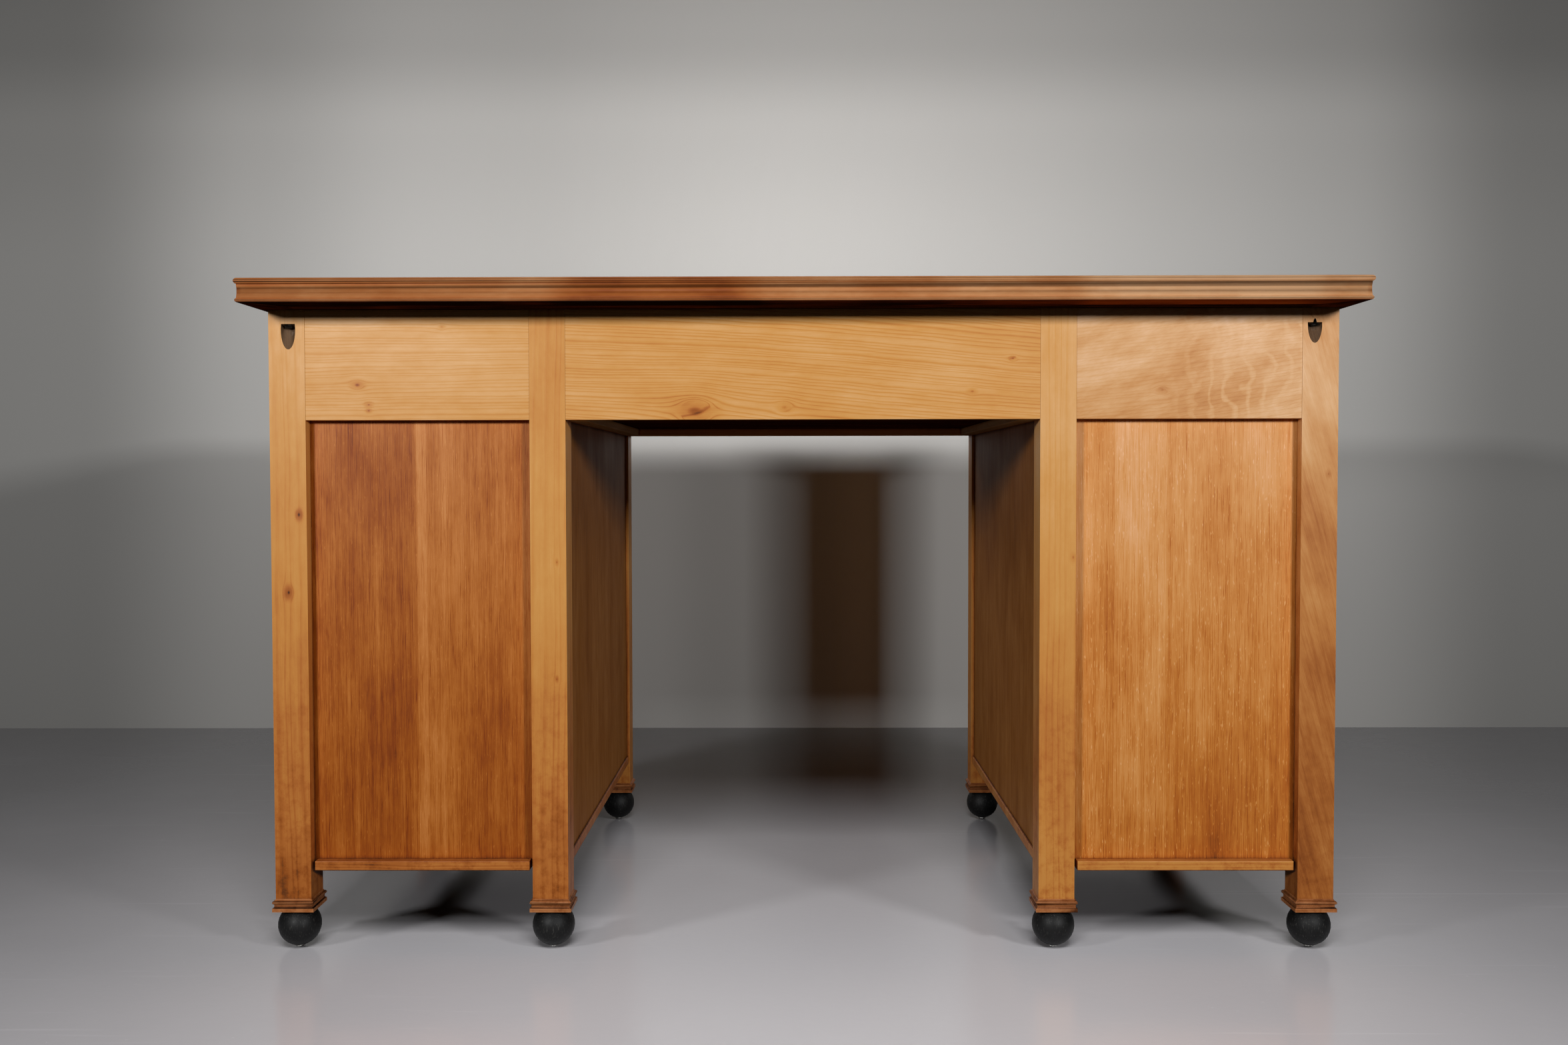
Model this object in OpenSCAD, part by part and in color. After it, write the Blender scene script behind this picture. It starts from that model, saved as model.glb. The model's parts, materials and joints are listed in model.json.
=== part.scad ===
// Kneehole desk: a moulded top on eight square posts with ball feet, three drawers in the frieze and
// a cupboard in each pedestal. X runs along the desk with +X to the sitter's right, the sitter is on
// the -Y side, Z is up, and the origin is on the floor under the middle of the top.

/* [Desk] */
// Height of the writing surface above the floor
desk_h = 780; // [740:1:820]
// Width over the outer posts
frame_w = 1242; // [1180:2:1360]
// Depth over the front and back posts
frame_d = 674; // [640:2:740]
// Clear width of the kneehole between the inner posts
kneehole_w = 552; // [500:2:600]
// Side of each square post
post_side = 42; // [40:1:46]

/* [Top] */
// Thickness of the top at its edge
top_t = 27; // [24:1:32]
// How far the top stands out past the posts at the back
over_back = 78; // [50:1:90]
// How far the top stands out past the posts at the front
over_front = 48; // [45:1:80]
// How far the top stands out past the posts at each end
over_end = 10; // [6:1:30]
// Width of the moulded edging, seen from above
edging_w = 45; // [35:1:60]
// Height of the bead along the upper arris
bead_h = 7; // [5:0.5:9]
// How far the bead stands out from the flat of the edging
bead_proud = 2.4; // [1.5:0.1:3]
// Height of the lip along the lower arris
lip_h = 4.6; // [3:0.2:6]
// How far the lip stands out from the flat of the edging
lip_proud = 1.4; // [0.8:0.1:2]
// Thickness and length of the tongue that joins the edging to the panel
tongue = 8; // [6:1:10]

/* [Feet] */
// Diameter of the turned ball feet
ball_d = 50; // [44:1:54]
// Height of the posts' lower ends above the floor
post_z = 47.5; // [44:0.5:49]
// Diameter of the steel glide under each ball
glide_d = 12; // [8:1:16]
// Height of the glide that shows under the ball
glide_h = 2.7; // [2:0.1:4]
// Diameter of the dowel that holds the ball in its post
foot_dowel_d = 20; // [16:1:24]
// Length of that dowel
foot_dowel_l = 26; // [18:1:32]
// Height of the moulded collar at the foot of each post
collar_h = 15; // [12:0.5:20]
// How far the collar stands out from the post
collar_proud = 3.4; // [2.6:0.1:4.4]

/* [Rails and panels] */
// Height of the frieze rails
frieze_h = 128; // [120:1:136]
// Thickness of the frieze rails
frieze_t = 22; // [20:1:26]
// Thickness of the tenons
tenon_t = 10; // [8:1:12]
// Length of the tenons
tenon_l = 17; // [12:1:18]
// How far the frieze tenons stop short of the rail's upper and lower edges
tenon_in = 24; // [22:1:30]
// Thickness of the veneered panels
panel_t = 6; // [5:0.5:8]
// How far the back and end panels lie behind the faces of the posts
panel_recess = 16; // [10:1:16]
// How far the kneehole panels lie behind the faces of the posts
knee_recess = 5; // [4:0.5:8]
// How far the panels enter the posts and rails
panel_let = 8; // [6:1:9]
// Thickness of the bottom boards
board_t = 11; // [10:0.5:16]
// Height of the bottom boards' undersides above the floor
board_z = 95.5; // [85:0.5:110]
// How far the bottom boards' edges lie behind the faces of the posts
board_inset = 2; // [1:0.5:6]
// Open gap between a bottom board's edge and the post beside it
board_gap = 4; // [2:0.5:6]
// Side of the square corner that a bottom board lets into a post
board_corner = 10; // [7:1:12]
// Height of the front rails above and below the drawers
rail_t = 20; // [18:1:22]
// Depth of the rail under the drawers
drawer_rail_d = 60; // [50:1:80]
// Depth of the rail above the drawers
top_rail_d = 50; // [45:1:70]
// Thickness of the board over the kneehole
ceiling_t = 6; // [5:0.5:8]
// Height of that board above the rails' lower edges
ceiling_up = 10; // [6:0.5:12]
// Width of the runners and kickers along the kneehole's sides
ledge_w = 19; // [16:1:24]
// Width of runner under each side of a pedestal drawer
bearing_w = 14; // [12:1:20]
// Height of the guide beside each side of a pedestal drawer
guide_h = 20; // [12:1:30]

/* [Drawers] */
// Room between the drawers' backs and the frieze behind them
drawer_room = 52; // [10:1:120]
// Gap at the ends of the drawer fronts
drawer_gap = 1; // [0.6:0.1:2]
// Gap above the drawer fronts
drawer_top_gap = 1.5; // [1:0.1:3]
// Thickness of the drawer fronts
front_t = 18; // [16:1:22]
// Wood left in front of the dovetails
lap = 4; // [3:0.5:6]
// Thickness of the drawer sides and backs
side_t = 12; // [9:0.5:14]
// Height of the drawer sides
side_h = 82; // [70:1:84]
// Thickness of the drawer bottoms
bottom_t = 5; // [4:0.5:6]
// Height of the drawer bottoms above the sides' lower edges
bottom_up = 8; // [7:0.5:12]
// Number of dovetails at each corner
tail_count = 3; // [2:1:4]
// Slope of the dovetails in degrees
tail_slope = 9; // [6:1:12]
// Distance of the wide drawer's knobs from the desk's middle
knob_x = 150; // [100:5:200]
// Height of the stops behind the drawer fronts
stop_h = 6; // [4:0.5:6.5]

/* [Knobs] */
// Diameter of the ball of each knob
knob_d = 27; // [22:1:32]
// How far the knobs stand out from the fronts and doors
knob_out = 34; // [28:1:40]
// Diameter of the neck of each knob
neck_d = 13; // [10:1:16]
// Diameter of the peg that holds a drawer knob
peg_d = 9; // [7:1:10]

/* [Doors] */
// Thickness of the doors
door_t = 20; // [18:1:22]
// Width of the doors' stiles and rails
stile_w = 48; // [40:1:60]
// Gap at the sides and top of each door
door_gap = 1.5; // [1:0.1:2.5]
// Gap under each door
door_low_gap = 2; // [1:0.1:4]
// Thickness of the door panels
door_panel_t = 7; // [5:0.5:9]
// Length of the hinges
hinge_h = 60; // [50:5:80]
// Distance of each hinge from the door's end
hinge_in = 60; // [40:5:90]
// Diameter of the hinge knuckles
knuckle_d = 7; // [6:0.5:8]
// Thickness of the hinge leaves
leaf_t = 2; // [1.5:0.1:2.5]
// Width of each hinge leaf behind the door's face
leaf_w = 16; // [12:1:18]
// Diameter of the hinge pins
pin_d = 3.4; // [3:0.1:4]
// Height of the door knobs above the floor
latch_z = 430; // [400:5:520]
// Diameter of the latch spindles
spindle_d = 8; // [6:0.5:10]
// Width of the latch tongues
latch_w = 12; // [10:1:16]
// Thickness of the latch tongues
latch_t = 3; // [2:0.5:4]
// How far a turned latch reaches into the post
latch_reach = 9; // [6:1:12]

/* [Shelves] */
// Height of the shelves' upper faces above the floor
shelf_z = 330; // [260:5:380]
// Thickness of the shelves
shelf_t = 14; // [12:1:18]
// Height of the battens under the shelves
batten_h = 20; // [16:1:30]

/* [Screws] */
// Diameter of the screws that hold the top
screw_d = 4; // [3.5:0.1:5]
// Diameter of the screw heads
screw_head_d = 8.4; // [7:0.1:10]
// How far the screws enter the top
screw_bite = 18; // [12:1:20]
// Radius of the gouged screw pockets in the back posts
pocket_r = 8.4; // [7:0.1:10]
// Lean of the pockets from upright in degrees
pocket_lean = 22; // [18:1:28]
// Height of post left above the pockets
pocket_down = 17; // [14:1:24]

/* [Fits] */
// Gap in the glued joints
glue_gap = 0.1; // [0.05:0.01:0.2]
// Gap under and beside what slides or swings
run_gap = 0.3; // [0.25:0.05:0.6]
// Radial gap of the hinge pins and latch spindles
pin_gap = 0.05; // [0.03:0.01:0.1]

/* [Hidden] */
$fn = 64;
SIDES = ["left", "right"];

// Colours of the woods and metals
BLOND = "#c98f4e";
OAK = "#b07440";
RED_BROWN = "#9c5f35";
EBONISED = "#262524";
PALE = "#c7a878";
BRASS = "#b08d4c";
STEEL = "#8b8b88";

// Places worked out from the sizes above; the left pedestal is drawn and the right one mirrors it
top_w = frame_w + 2 * over_end;
top_d = frame_d + over_back + over_front;
under_z = desk_h - top_t;
frieze_z = under_z - frieze_h;
back_y = top_d / 2 - over_back;
front_y = back_y - frame_d;
outer_x = -frame_w / 2;
inner_x = -kneehole_w / 2;
bay_x0 = outer_x + post_side;
bay_x1 = inner_x - post_side;
bay_y0 = front_y + post_side;
bay_y1 = back_y - post_side;
rail_z = frieze_z + rail_t;
lintel_z = under_z - rail_t;
board_top = board_z + board_t;
frieze_y = back_y - frieze_t;
edge_x = top_w / 2;
edge_y = top_d / 2;

// A box from its low corner to its high one, swollen all round where it cuts its own joint
module block(low, high, swell = 0) {
    translate(low - [swell, swell, swell])
        cube(high - low + 2 * [swell, swell, swell]);
}

// Draws the left pedestal's piece, or its mirror image for the right one
module on_side(side) {
    if (side == "left")
        children();
    else
        mirror([1, 0, 0])
            children();
}

module both_sides() {
    for (side = SIDES)
        on_side(side)
            children();
}

// Top

// Section of the edging: x runs outward from the inner edge and y runs up from the underside
flat_x = edging_w - bead_proud;
hollow_h = top_t - bead_h - lip_h;
HOLLOW_DEPTH = 0.6;
hollow_r = (pow(hollow_h / 2, 2) + pow(HOLLOW_DEPTH, 2)) / (2 * HOLLOW_DEPTH);

module edging_section() {
    difference() {
        union() {
            square([edging_w - bead_h / 2, top_t]);
            square([flat_x, top_t - bead_h]);
            square([flat_x + lip_proud - lip_h / 2, lip_h]);
            translate([edging_w - bead_h / 2, top_t - bead_h / 2])
                circle(d = bead_h);
            translate([flat_x + lip_proud - lip_h / 2, lip_h / 2])
                circle(d = lip_h);
        }
        intersection() {
            translate([flat_x + hollow_r - HOLLOW_DEPTH, lip_h + hollow_h / 2])
                circle(r = hollow_r, $fn = 128);
            translate([0, lip_h])
                square([edging_w + 1, hollow_h]);
        }
        translate([-1, top_t / 2 - tongue / 2 - glue_gap])
            square([tongue + 1 + glue_gap, tongue + 2 * glue_gap]);
    }
}

// One length of edging along +X, with its back at y = 0 and both ends mitred
module edging_strip(length) {
    intersection() {
        translate([-length / 2, 0, 0])
            rotate([90, 0, 90])
                linear_extrude(length)
                    edging_section();
        linear_extrude(top_t)
            polygon([
                [-length / 2 + edging_w, 0], [length / 2 - edging_w, 0],
                [length / 2, edging_w], [-length / 2, edging_w]
            ]);
    }
}

module top_edging(turn, length, reach) {
    color(RED_BROWN)
        difference() {
            rotate([0, 0, turn])
                translate([0, reach - edging_w, under_z])
                    edging_strip(length);
            top_screw_cut(glue_gap);
        }
}

module top_panel() {
    half_x = edge_x - edging_w;
    half_y = edge_y - edging_w;
    color(RED_BROWN)
        difference() {
            union() {
                block([-half_x, -half_y, under_z], [half_x, half_y, desk_h]);
                block([-half_x - tongue, -half_y - tongue, under_z + (top_t - tongue) / 2],
                      [half_x + tongue, half_y + tongue, under_z + (top_t + tongue) / 2]);
            }
            top_screw_cut(glue_gap);
        }
}

// Screws that hold the top: one leaning in each outer back post, and upright ones in the front rails

POCKET_SHIFT = [7, 2];
POCKET_SINK = [0.5, 2.5];
RAIL_SCREW_IN = 50;
SCREW_HEAD_H = 3;
SLOT_W = 1.2;
SLOT_DEEP = 1.4;

function pocket_x(i) = outer_x + post_side / 2 + POCKET_SHIFT[i];

module leaning(i) {
    on_side(SIDES[i])
        translate([pocket_x(i), back_y - POCKET_SINK[i], under_z - pocket_down])
            rotate([pocket_lean, 0, 0])
                children();
}

lean_l = (pocket_down + screw_bite) / cos(pocket_lean);

module screw(length, head_d, swell = 0) {
    cylinder(d = screw_d + 2 * swell, h = length + swell);
    translate([0, 0, -SCREW_HEAD_H])
        cylinder(d = head_d + 2 * swell, h = SCREW_HEAD_H);
}

// The gouged pocket is open at the back face and ends above in a flat shoulder under the screw's head
module pocket_cut(i) {
    leaning(i)
        translate([0, 0, -3 * post_side])
            cylinder(r = pocket_r, h = 3 * post_side);
}

rail_screw_y = front_y + top_rail_d / 2;
RAIL_SCREW_X = [bay_x0 + RAIL_SCREW_IN, bay_x1 - RAIL_SCREW_IN, inner_x + RAIL_SCREW_IN];

module rail_screws(swell) {
    both_sides()
        for (x = RAIL_SCREW_X)
            translate([x, rail_screw_y, lintel_z + SCREW_HEAD_H])
                screw(rail_t - SCREW_HEAD_H + screw_bite, screw_head_d, swell);
}

module leaning_screws(swell) {
    for (i = [0, 1])
        leaning(i)
            screw(lean_l, screw_head_d, swell);
}

module top_screw_cut(swell) {
    rail_screws(swell);
    leaning_screws(swell);
}

module top_screws() {
    color(STEEL) {
        difference() {
            leaning_screws(0);
            for (i = [0, 1])
                leaning(i)
                    translate([-screw_head_d, -SLOT_W / 2, -SCREW_HEAD_H - 1])
                        cube([2 * screw_head_d, SLOT_W, SLOT_DEEP + 1]);
        }
        rail_screws(0);
    }
}

// Posts

module post_blank(x, y) {
    block([x - post_side / 2, y - post_side / 2, post_z], [x + post_side / 2, y + post_side / 2, under_z]);
}

outer_post_x = outer_x + post_side / 2;
inner_post_x = inner_x - post_side / 2;
front_post_y = front_y + post_side / 2;
back_post_y = back_y - post_side / 2;

// Everything in the left half that is let into its posts
module left_post_joints() {
    frieze_tenons(glue_gap);
    front_rail_tenons(glue_gap);
    panels(glue_gap);
    board_corners(glue_gap);
    foot_dowels(glue_gap);
    leaf_cut();
    latch_slot();
}

module post(side, x, y) {
    color(BLOND)
        difference() {
            on_side(side)
                difference() {
                    post_blank(x, y);
                    left_post_joints();
                }
            for (i = [0, 1])
                pocket_cut(i);
            leaning_screws(glue_gap);
        }
}

// Collars: four mitred lengths of moulding round the foot of each post

COLLAR_WAIST = 1.5;
COLLAR_LIP_H = 4.2;
COLLAR_BEAD_R = 2.1;
COLLAR_SLOPE = 2;
collar_cove_r = collar_proud - COLLAR_WAIST;

// x runs outward from the post's face and y runs up
module collar_section() {
    difference() {
        union() {
            square([COLLAR_WAIST, collar_h - COLLAR_SLOPE]);
            square([collar_proud, COLLAR_LIP_H + collar_cove_r]);
            translate([collar_proud - COLLAR_BEAD_R, collar_h - COLLAR_SLOPE - COLLAR_BEAD_R])
                circle(r = COLLAR_BEAD_R);
            polygon([[0, 0], [collar_proud - COLLAR_BEAD_R, 0],
                     [collar_proud - COLLAR_BEAD_R, collar_h - COLLAR_SLOPE], [0, collar_h]]);
        }
        translate([collar_proud, COLLAR_LIP_H + collar_cove_r])
            circle(r = collar_cove_r);
    }
}

module collar_strip() {
    half = post_side / 2 - glue_gap;
    reach = post_side / 2 + collar_proud;
    intersection() {
        translate([-reach, post_side / 2, 0])
            rotate([90, 0, 90])
                linear_extrude(2 * reach)
                    collar_section();
        linear_extrude(collar_h)
            polygon([[-half, post_side / 2], [half, post_side / 2],
                     [reach - glue_gap, reach], [glue_gap - reach, reach]]);
    }
}

module each_post() {
    both_sides()
        for (x = [outer_post_x, inner_post_x], y = [front_post_y, back_post_y])
            translate([x, y, 0])
                children();
}

module post_collars() {
    color(BLOND)
        each_post()
            translate([0, 0, post_z])
                for (quarter = [0 : 3])
                    rotate([0, 0, 90 * quarter])
                        collar_strip();
}

// Feet

ball_z = glide_h + sqrt(pow(ball_d / 2, 2) - pow(glide_d / 2, 2));
GLIDE_NAIL_D = 2.5;
GLIDE_NAIL_L = 16;
GLIDE_FLAT_D = 7;

module foot_dowel(swell = 0) {
    translate([0, 0, post_z - swell])
        cylinder(d = foot_dowel_d + 2 * swell, h = foot_dowel_l + 2 * swell);
}

module foot_dowels(swell) {
    for (x = [outer_post_x, inner_post_x], y = [front_post_y, back_post_y])
        translate([x, y, 0])
            foot_dowel(swell);
}

module ball_foot() {
    difference() {
        union() {
            intersection() {
                translate([0, 0, ball_z])
                    sphere(d = ball_d, $fn = 96);
                translate([0, 0, glide_h])
                    cylinder(d = 2 * ball_d, h = post_z - glide_h);
            }
            foot_dowel();
        }
        translate([0, 0, glide_h - 1])
            cylinder(d = GLIDE_NAIL_D + 2 * glue_gap, h = GLIDE_NAIL_L + 1 + glue_gap);
    }
}

module ball_feet() {
    color(EBONISED)
        each_post()
            ball_foot();
}

module foot_glides() {
    color(STEEL)
        each_post() {
            rotate_extrude()
                polygon([[0, 0], [GLIDE_FLAT_D / 2, 0], [glide_d / 2, glide_h * 0.6],
                         [glide_d / 2, glide_h], [0, glide_h]]);
            translate([0, 0, glide_h])
                cylinder(d = GLIDE_NAIL_D, h = GLIDE_NAIL_L);
        }
}

// Friezes

tenon_z0 = frieze_z + tenon_in;
tenon_z1 = under_z - tenon_in;
tenon_in_t = (frieze_t - tenon_t) / 2;

module back_frieze_core(x0, x1, swell = 0) {
    block([x0 - tenon_l, frieze_y + tenon_in_t, tenon_z0],
          [x1 + tenon_l, back_y - tenon_in_t, tenon_z1], swell);
}

module end_frieze_core(face_x, swell = 0) {
    block([face_x + tenon_in_t, bay_y0 - tenon_l, tenon_z0],
          [face_x + frieze_t - tenon_in_t, bay_y1 + tenon_l, tenon_z1], swell);
}

// The left pedestal's frieze tenons, with those of the wide rail over the kneehole
module frieze_tenons(swell) {
    back_frieze_core(bay_x0, bay_x1, swell);
    back_frieze_core(inner_x, -inner_x, swell);
    end_frieze_core(outer_x, swell);
    end_frieze_core(inner_x - frieze_t, swell);
}

module back_frieze(x0, x1) {
    difference() {
        union() {
            block([x0, frieze_y, frieze_z], [x1, back_y, under_z]);
            back_frieze_core(x0, x1);
        }
        panels(glue_gap);
        ceiling(glue_gap);
    }
}

module back_frieze_side(side) {
    color(BLOND)
        on_side(side)
            back_frieze(bay_x0, bay_x1);
}

module back_frieze_centre() {
    color(BLOND)
        back_frieze(inner_x, -inner_x);
}

module end_frieze(face_x) {
    difference() {
        union() {
            block([face_x, bay_y0, frieze_z], [face_x + frieze_t, bay_y1, under_z]);
            end_frieze_core(face_x);
        }
        panels(glue_gap);
    }
}

module end_friezes() {
    color(BLOND)
        both_sides()
            end_frieze(outer_x);
}

module kneehole_friezes() {
    color(BLOND)
        both_sides()
            end_frieze(inner_x - frieze_t);
}

// Panels

panel_top = frieze_z + panel_let;
PANEL_SEAT = 3;
panel_low = board_top - PANEL_SEAT;
back_panel_y = back_y - panel_recess - panel_t;
end_panel_x = outer_x + panel_recess;
knee_panel_x = inner_x - knee_recess - panel_t;

module back_panel(swell = 0) {
    block([bay_x0 - panel_let, back_panel_y, panel_low],
          [bay_x1 + panel_let, back_panel_y + panel_t, panel_top], swell);
}

module side_panel(x, swell = 0) {
    block([x, bay_y0 - panel_let, panel_low], [x + panel_t, bay_y1 + panel_let, panel_top], swell);
}

module panels(swell) {
    back_panel(swell);
    side_panel(end_panel_x, swell);
    side_panel(knee_panel_x, swell);
}

module back_panel_side(side) {
    color(OAK)
        on_side(side)
            back_panel();
}

module end_panels() {
    color(OAK)
        both_sides()
            side_panel(end_panel_x);
}

module kneehole_panels() {
    color(OAK)
        both_sides()
            side_panel(knee_panel_x);
}

// Bottom boards: notched round the posts, with a small corner let into each one

module board_corners(swell = 0) {
    for (x = [bay_x0, bay_x1], y = [bay_y0, bay_y1]) {
        out_x = x == bay_x0 ? -1 : 1;
        out_y = y == bay_y0 ? -1 : 1;
        far = [x + out_x * board_corner, y + out_y * board_corner];
        near = [x - out_x * board_gap, y - out_y * board_gap];
        block([min(far.x, near.x), min(far.y, near.y), board_z],
              [max(far.x, near.x), max(far.y, near.y), board_top], swell);
    }
}

module bottom_board() {
    reach = post_side + board_gap;
    difference() {
        union() {
            difference() {
                block([outer_x + board_inset, front_y + board_inset, board_z],
                      [inner_x - board_inset, back_y - board_inset, board_top]);
                for (x = [outer_x, inner_x - reach], y = [front_y, back_y - reach])
                    block([x, y, board_z - 1], [x + reach, y + reach, board_top + 1]);
            }
            board_corners();
        }
        panels(glue_gap);
    }
}

module bottom_boards() {
    color(OAK)
        both_sides()
            bottom_board();
}

// Front rails, runners and kickers

RAIL_TENON_T = 10;
rail_tenon_w = post_side - 2 * panel_let - 2;

// Tenons of a front rail, whose underside is at z
module rail_core(x0, x1, z, swell = 0) {
    block([x0 - tenon_l, front_post_y - rail_tenon_w / 2, z + (rail_t - RAIL_TENON_T) / 2],
          [x1 + tenon_l, front_post_y + rail_tenon_w / 2, z + (rail_t + RAIL_TENON_T) / 2], swell);
}

module front_rail_tenons(swell) {
    for (z = [frieze_z, lintel_z]) {
        rail_core(bay_x0, bay_x1, z, swell);
        rail_core(inner_x, -inner_x, z, swell);
    }
}

module front_rail(x0, x1, z, depth) {
    block([x0, front_y, z], [x1, front_y + depth, z + rail_t]);
    rail_core(x0, x1, z);
}

module front_rails(z, depth) {
    both_sides()
        front_rail(bay_x0, bay_x1, z, depth);
    front_rail(inner_x, -inner_x, z, depth);
}

module front_top_rails() {
    color(BLOND)
        difference() {
            front_rails(lintel_z, top_rail_d);
            rail_screws(glue_gap);
            both_sides()
                for (x = RAIL_SCREW_X)
                    translate([x, rail_screw_y, lintel_z - 1])
                        cylinder(d = screw_head_d + 2 * glue_gap, h = SCREW_HEAD_H);
        }
}

module drawer_rails() {
    color(BLOND)
        difference() {
            front_rails(frieze_z, drawer_rail_d);
            ceiling(glue_gap);
        }
}

// A bar beside a pedestal drawer: a bearing part in the bay, and a part between the posts
module bay_bar(z0, z1, guide_z, rail_d) {
    rail_back = front_y + rail_d;
    block([bay_x0, rail_back, z0], [bay_x0 + bearing_w, frieze_y, z1]);
    block([outer_x + frieze_t, bay_y0, z0], [bay_x0, bay_y1, guide_z]);
    block([bay_x1 - bearing_w, rail_back, z0], [bay_x1, frieze_y, z1]);
    block([bay_x1, bay_y0, z0], [inner_x - frieze_t, bay_y1, guide_z]);
}

module ledge(z, rail_d) {
    block([inner_x, front_y + rail_d, z], [inner_x + ledge_w, frieze_y, z + rail_t]);
}

module drawer_runners() {
    color(PALE)
        both_sides() {
            bay_bar(frieze_z, rail_z, rail_z + guide_h, drawer_rail_d);
            difference() {
                ledge(frieze_z, drawer_rail_d);
                ceiling(glue_gap);
            }
        }
}

module drawer_kickers() {
    color(PALE)
        both_sides() {
            bay_bar(lintel_z, under_z, under_z, top_rail_d);
            ledge(lintel_z, top_rail_d);
        }
}

module ceiling(swell = 0) {
    half = -inner_x - ledge_w + panel_let;
    z = frieze_z + ceiling_up;
    block([-half, front_y + drawer_rail_d - panel_let, z], [half, frieze_y + panel_let, z + ceiling_t], swell);
}

module kneehole_ceiling() {
    color(OAK)
        ceiling();
}

// Stops glued to the drawer rails close behind the fronts

STOP_W = 34;
STOP_D = 12;
STOP_IN = 40;

module drawer_stops() {
    y = front_y + front_t + run_gap;
    color(PALE)
        both_sides()
            for (x = [bay_x0 + STOP_IN, bay_x1 - STOP_IN - STOP_W, inner_x + STOP_IN])
                block([x, y, rail_z], [x + STOP_W, y + STOP_D, rail_z + stop_h]);
}

// Drawers

run_z = rail_z + run_gap;
front_z0 = rail_z + drawer_gap;
front_z1 = lintel_z - drawer_top_gap;
box_end = frieze_y - drawer_room;
bottom_z = run_z + bottom_up;
tail_pitch = side_h / tail_count;
TAIL_SHARE = 0.6;
TAIL_ROOT = 1;
BACK_DOWN = 8;
GROOVE = 5;

// Dovetails on the ends of one drawer side, pointing along Y from y0 to y0 + run, with roots in the side
module tails(x, y0, run, swell = 0) {
    narrow = tail_pitch * TAIL_SHARE / 2 + swell;
    wide = narrow + abs(run) * tan(tail_slope);
    root = y0 - sign(run) * TAIL_ROOT;
    tip = y0 + run + sign(run) * swell;
    translate([x - swell, 0, 0])
        rotate([90, 0, 90])
            linear_extrude(side_t + 2 * swell)
                for (i = [0 : tail_count - 1]) {
                    z = run_z + tail_pitch * (i + 0.5);
                    polygon([[root, z - narrow], [y0, z - narrow], [tip, z - wide],
                             [tip, z + wide], [y0, z + narrow], [root, z + narrow]]);
                }
}

// Front and back dovetails of the side whose outer face is at x
module side_tails(x, swell = 0) {
    tails(x, front_y + front_t, lap - front_t, swell);
    tails(x, box_end - side_t, side_t, swell);
}

module both_side_tails(x0, x1, swell) {
    side_tails(x0, swell);
    side_tails(x1 - side_t, swell);
}

module bottom_plate(x0, x1, swell = 0) {
    inset = side_t - GROOVE;
    block([x0 + inset, front_y + front_t - GROOVE, bottom_z], [x1 - inset, box_end, bottom_z + bottom_t], swell);
}

module back_plate(x0, x1, swell = 0) {
    block([x0, box_end - side_t, bottom_z + bottom_t],
          [x1, box_end, run_z + side_h - BACK_DOWN], swell);
}

module drawer_front(x0, x1) {
    color(BLOND)
        difference() {
            block([x0, front_y, front_z0], [x1, front_y + front_t, front_z1]);
            both_side_tails(x0, x1, glue_gap);
            bottom_plate(x0, x1, glue_gap);
            for (x = knob_places(x0, x1))
                knob_place(x)
                    knob_peg(glue_gap);
        }
}

module drawer_side(x, x0, x1) {
    difference() {
        union() {
            block([x, front_y + front_t, run_z], [x + side_t, box_end, run_z + side_h]);
            side_tails(x);
        }
        difference() {
            back_plate(x0, x1, glue_gap);
            side_tails(x);
        }
        bottom_plate(x0, x1, glue_gap);
    }
}

module drawer_box(x0, x1) {
    color(PALE) {
        drawer_side(x0, x0, x1);
        drawer_side(x1 - side_t, x0, x1);
        difference() {
            back_plate(x0, x1);
            both_side_tails(x0, x1, glue_gap);
        }
    }
}

module drawer_bottom(x0, x1) {
    color(PALE)
        bottom_plate(x0, x1);
}

// Knobs: a turned ball on a waisted neck

KNOB_FOOT_H = 4;
KNOB_FOOT_D = 18;
PEG_HOLD = 1;
SPINDLE_HOLD = 12;
knob_z = (front_z0 + front_z1) / 2;

function knob_places(x0, x1) = x1 - x0 > bay_x1 - bay_x0 ? [-knob_x, knob_x] : [(x0 + x1) / 2];

// Turns its children so that their z axis points out of the front, at y = 0
module outward() {
    rotate([90, 0, 0])
        children();
}

module knob_place(x) {
    translate([x, front_y, knob_z])
        outward()
            children();
}

module knob_peg(swell = 0) {
    translate([0, 0, -front_t - swell])
        cylinder(d = peg_d + 2 * swell, h = front_t + PEG_HOLD + swell);
}

module knob_shape() {
    cylinder(d = KNOB_FOOT_D, h = KNOB_FOOT_H / 2);
    translate([0, 0, KNOB_FOOT_H / 2])
        cylinder(d1 = KNOB_FOOT_D, d2 = neck_d, h = KNOB_FOOT_H / 2);
    cylinder(d = neck_d, h = knob_out - knob_d / 2);
    translate([0, 0, knob_out - knob_d / 2])
        sphere(d = knob_d);
}

module drawer_knobs(x0, x1) {
    color(EBONISED)
        for (x = knob_places(x0, x1))
            knob_place(x) {
                knob_shape();
                knob_peg();
            }
}

// The left drawer's ends; the right one mirrors it
left_x0 = bay_x0 + drawer_gap;
left_x1 = bay_x1 - drawer_gap;
wide_x = -inner_x - drawer_gap;

// Doors

door_x0 = bay_x0 + door_gap;
door_x1 = bay_x1 - door_gap;
door_z0 = board_top + door_low_gap;
door_z1 = frieze_z - door_gap;
door_back = front_y + door_t;
hinge_x = bay_x0 + door_gap / 2;
hinge_y = front_y - knuckle_d / 2 - run_gap;
DOOR_GROOVE = 10;
door_panel_y = front_y + (door_t - door_panel_t) / 2;
spindle_x = door_x1 - stile_w / 2;

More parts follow.
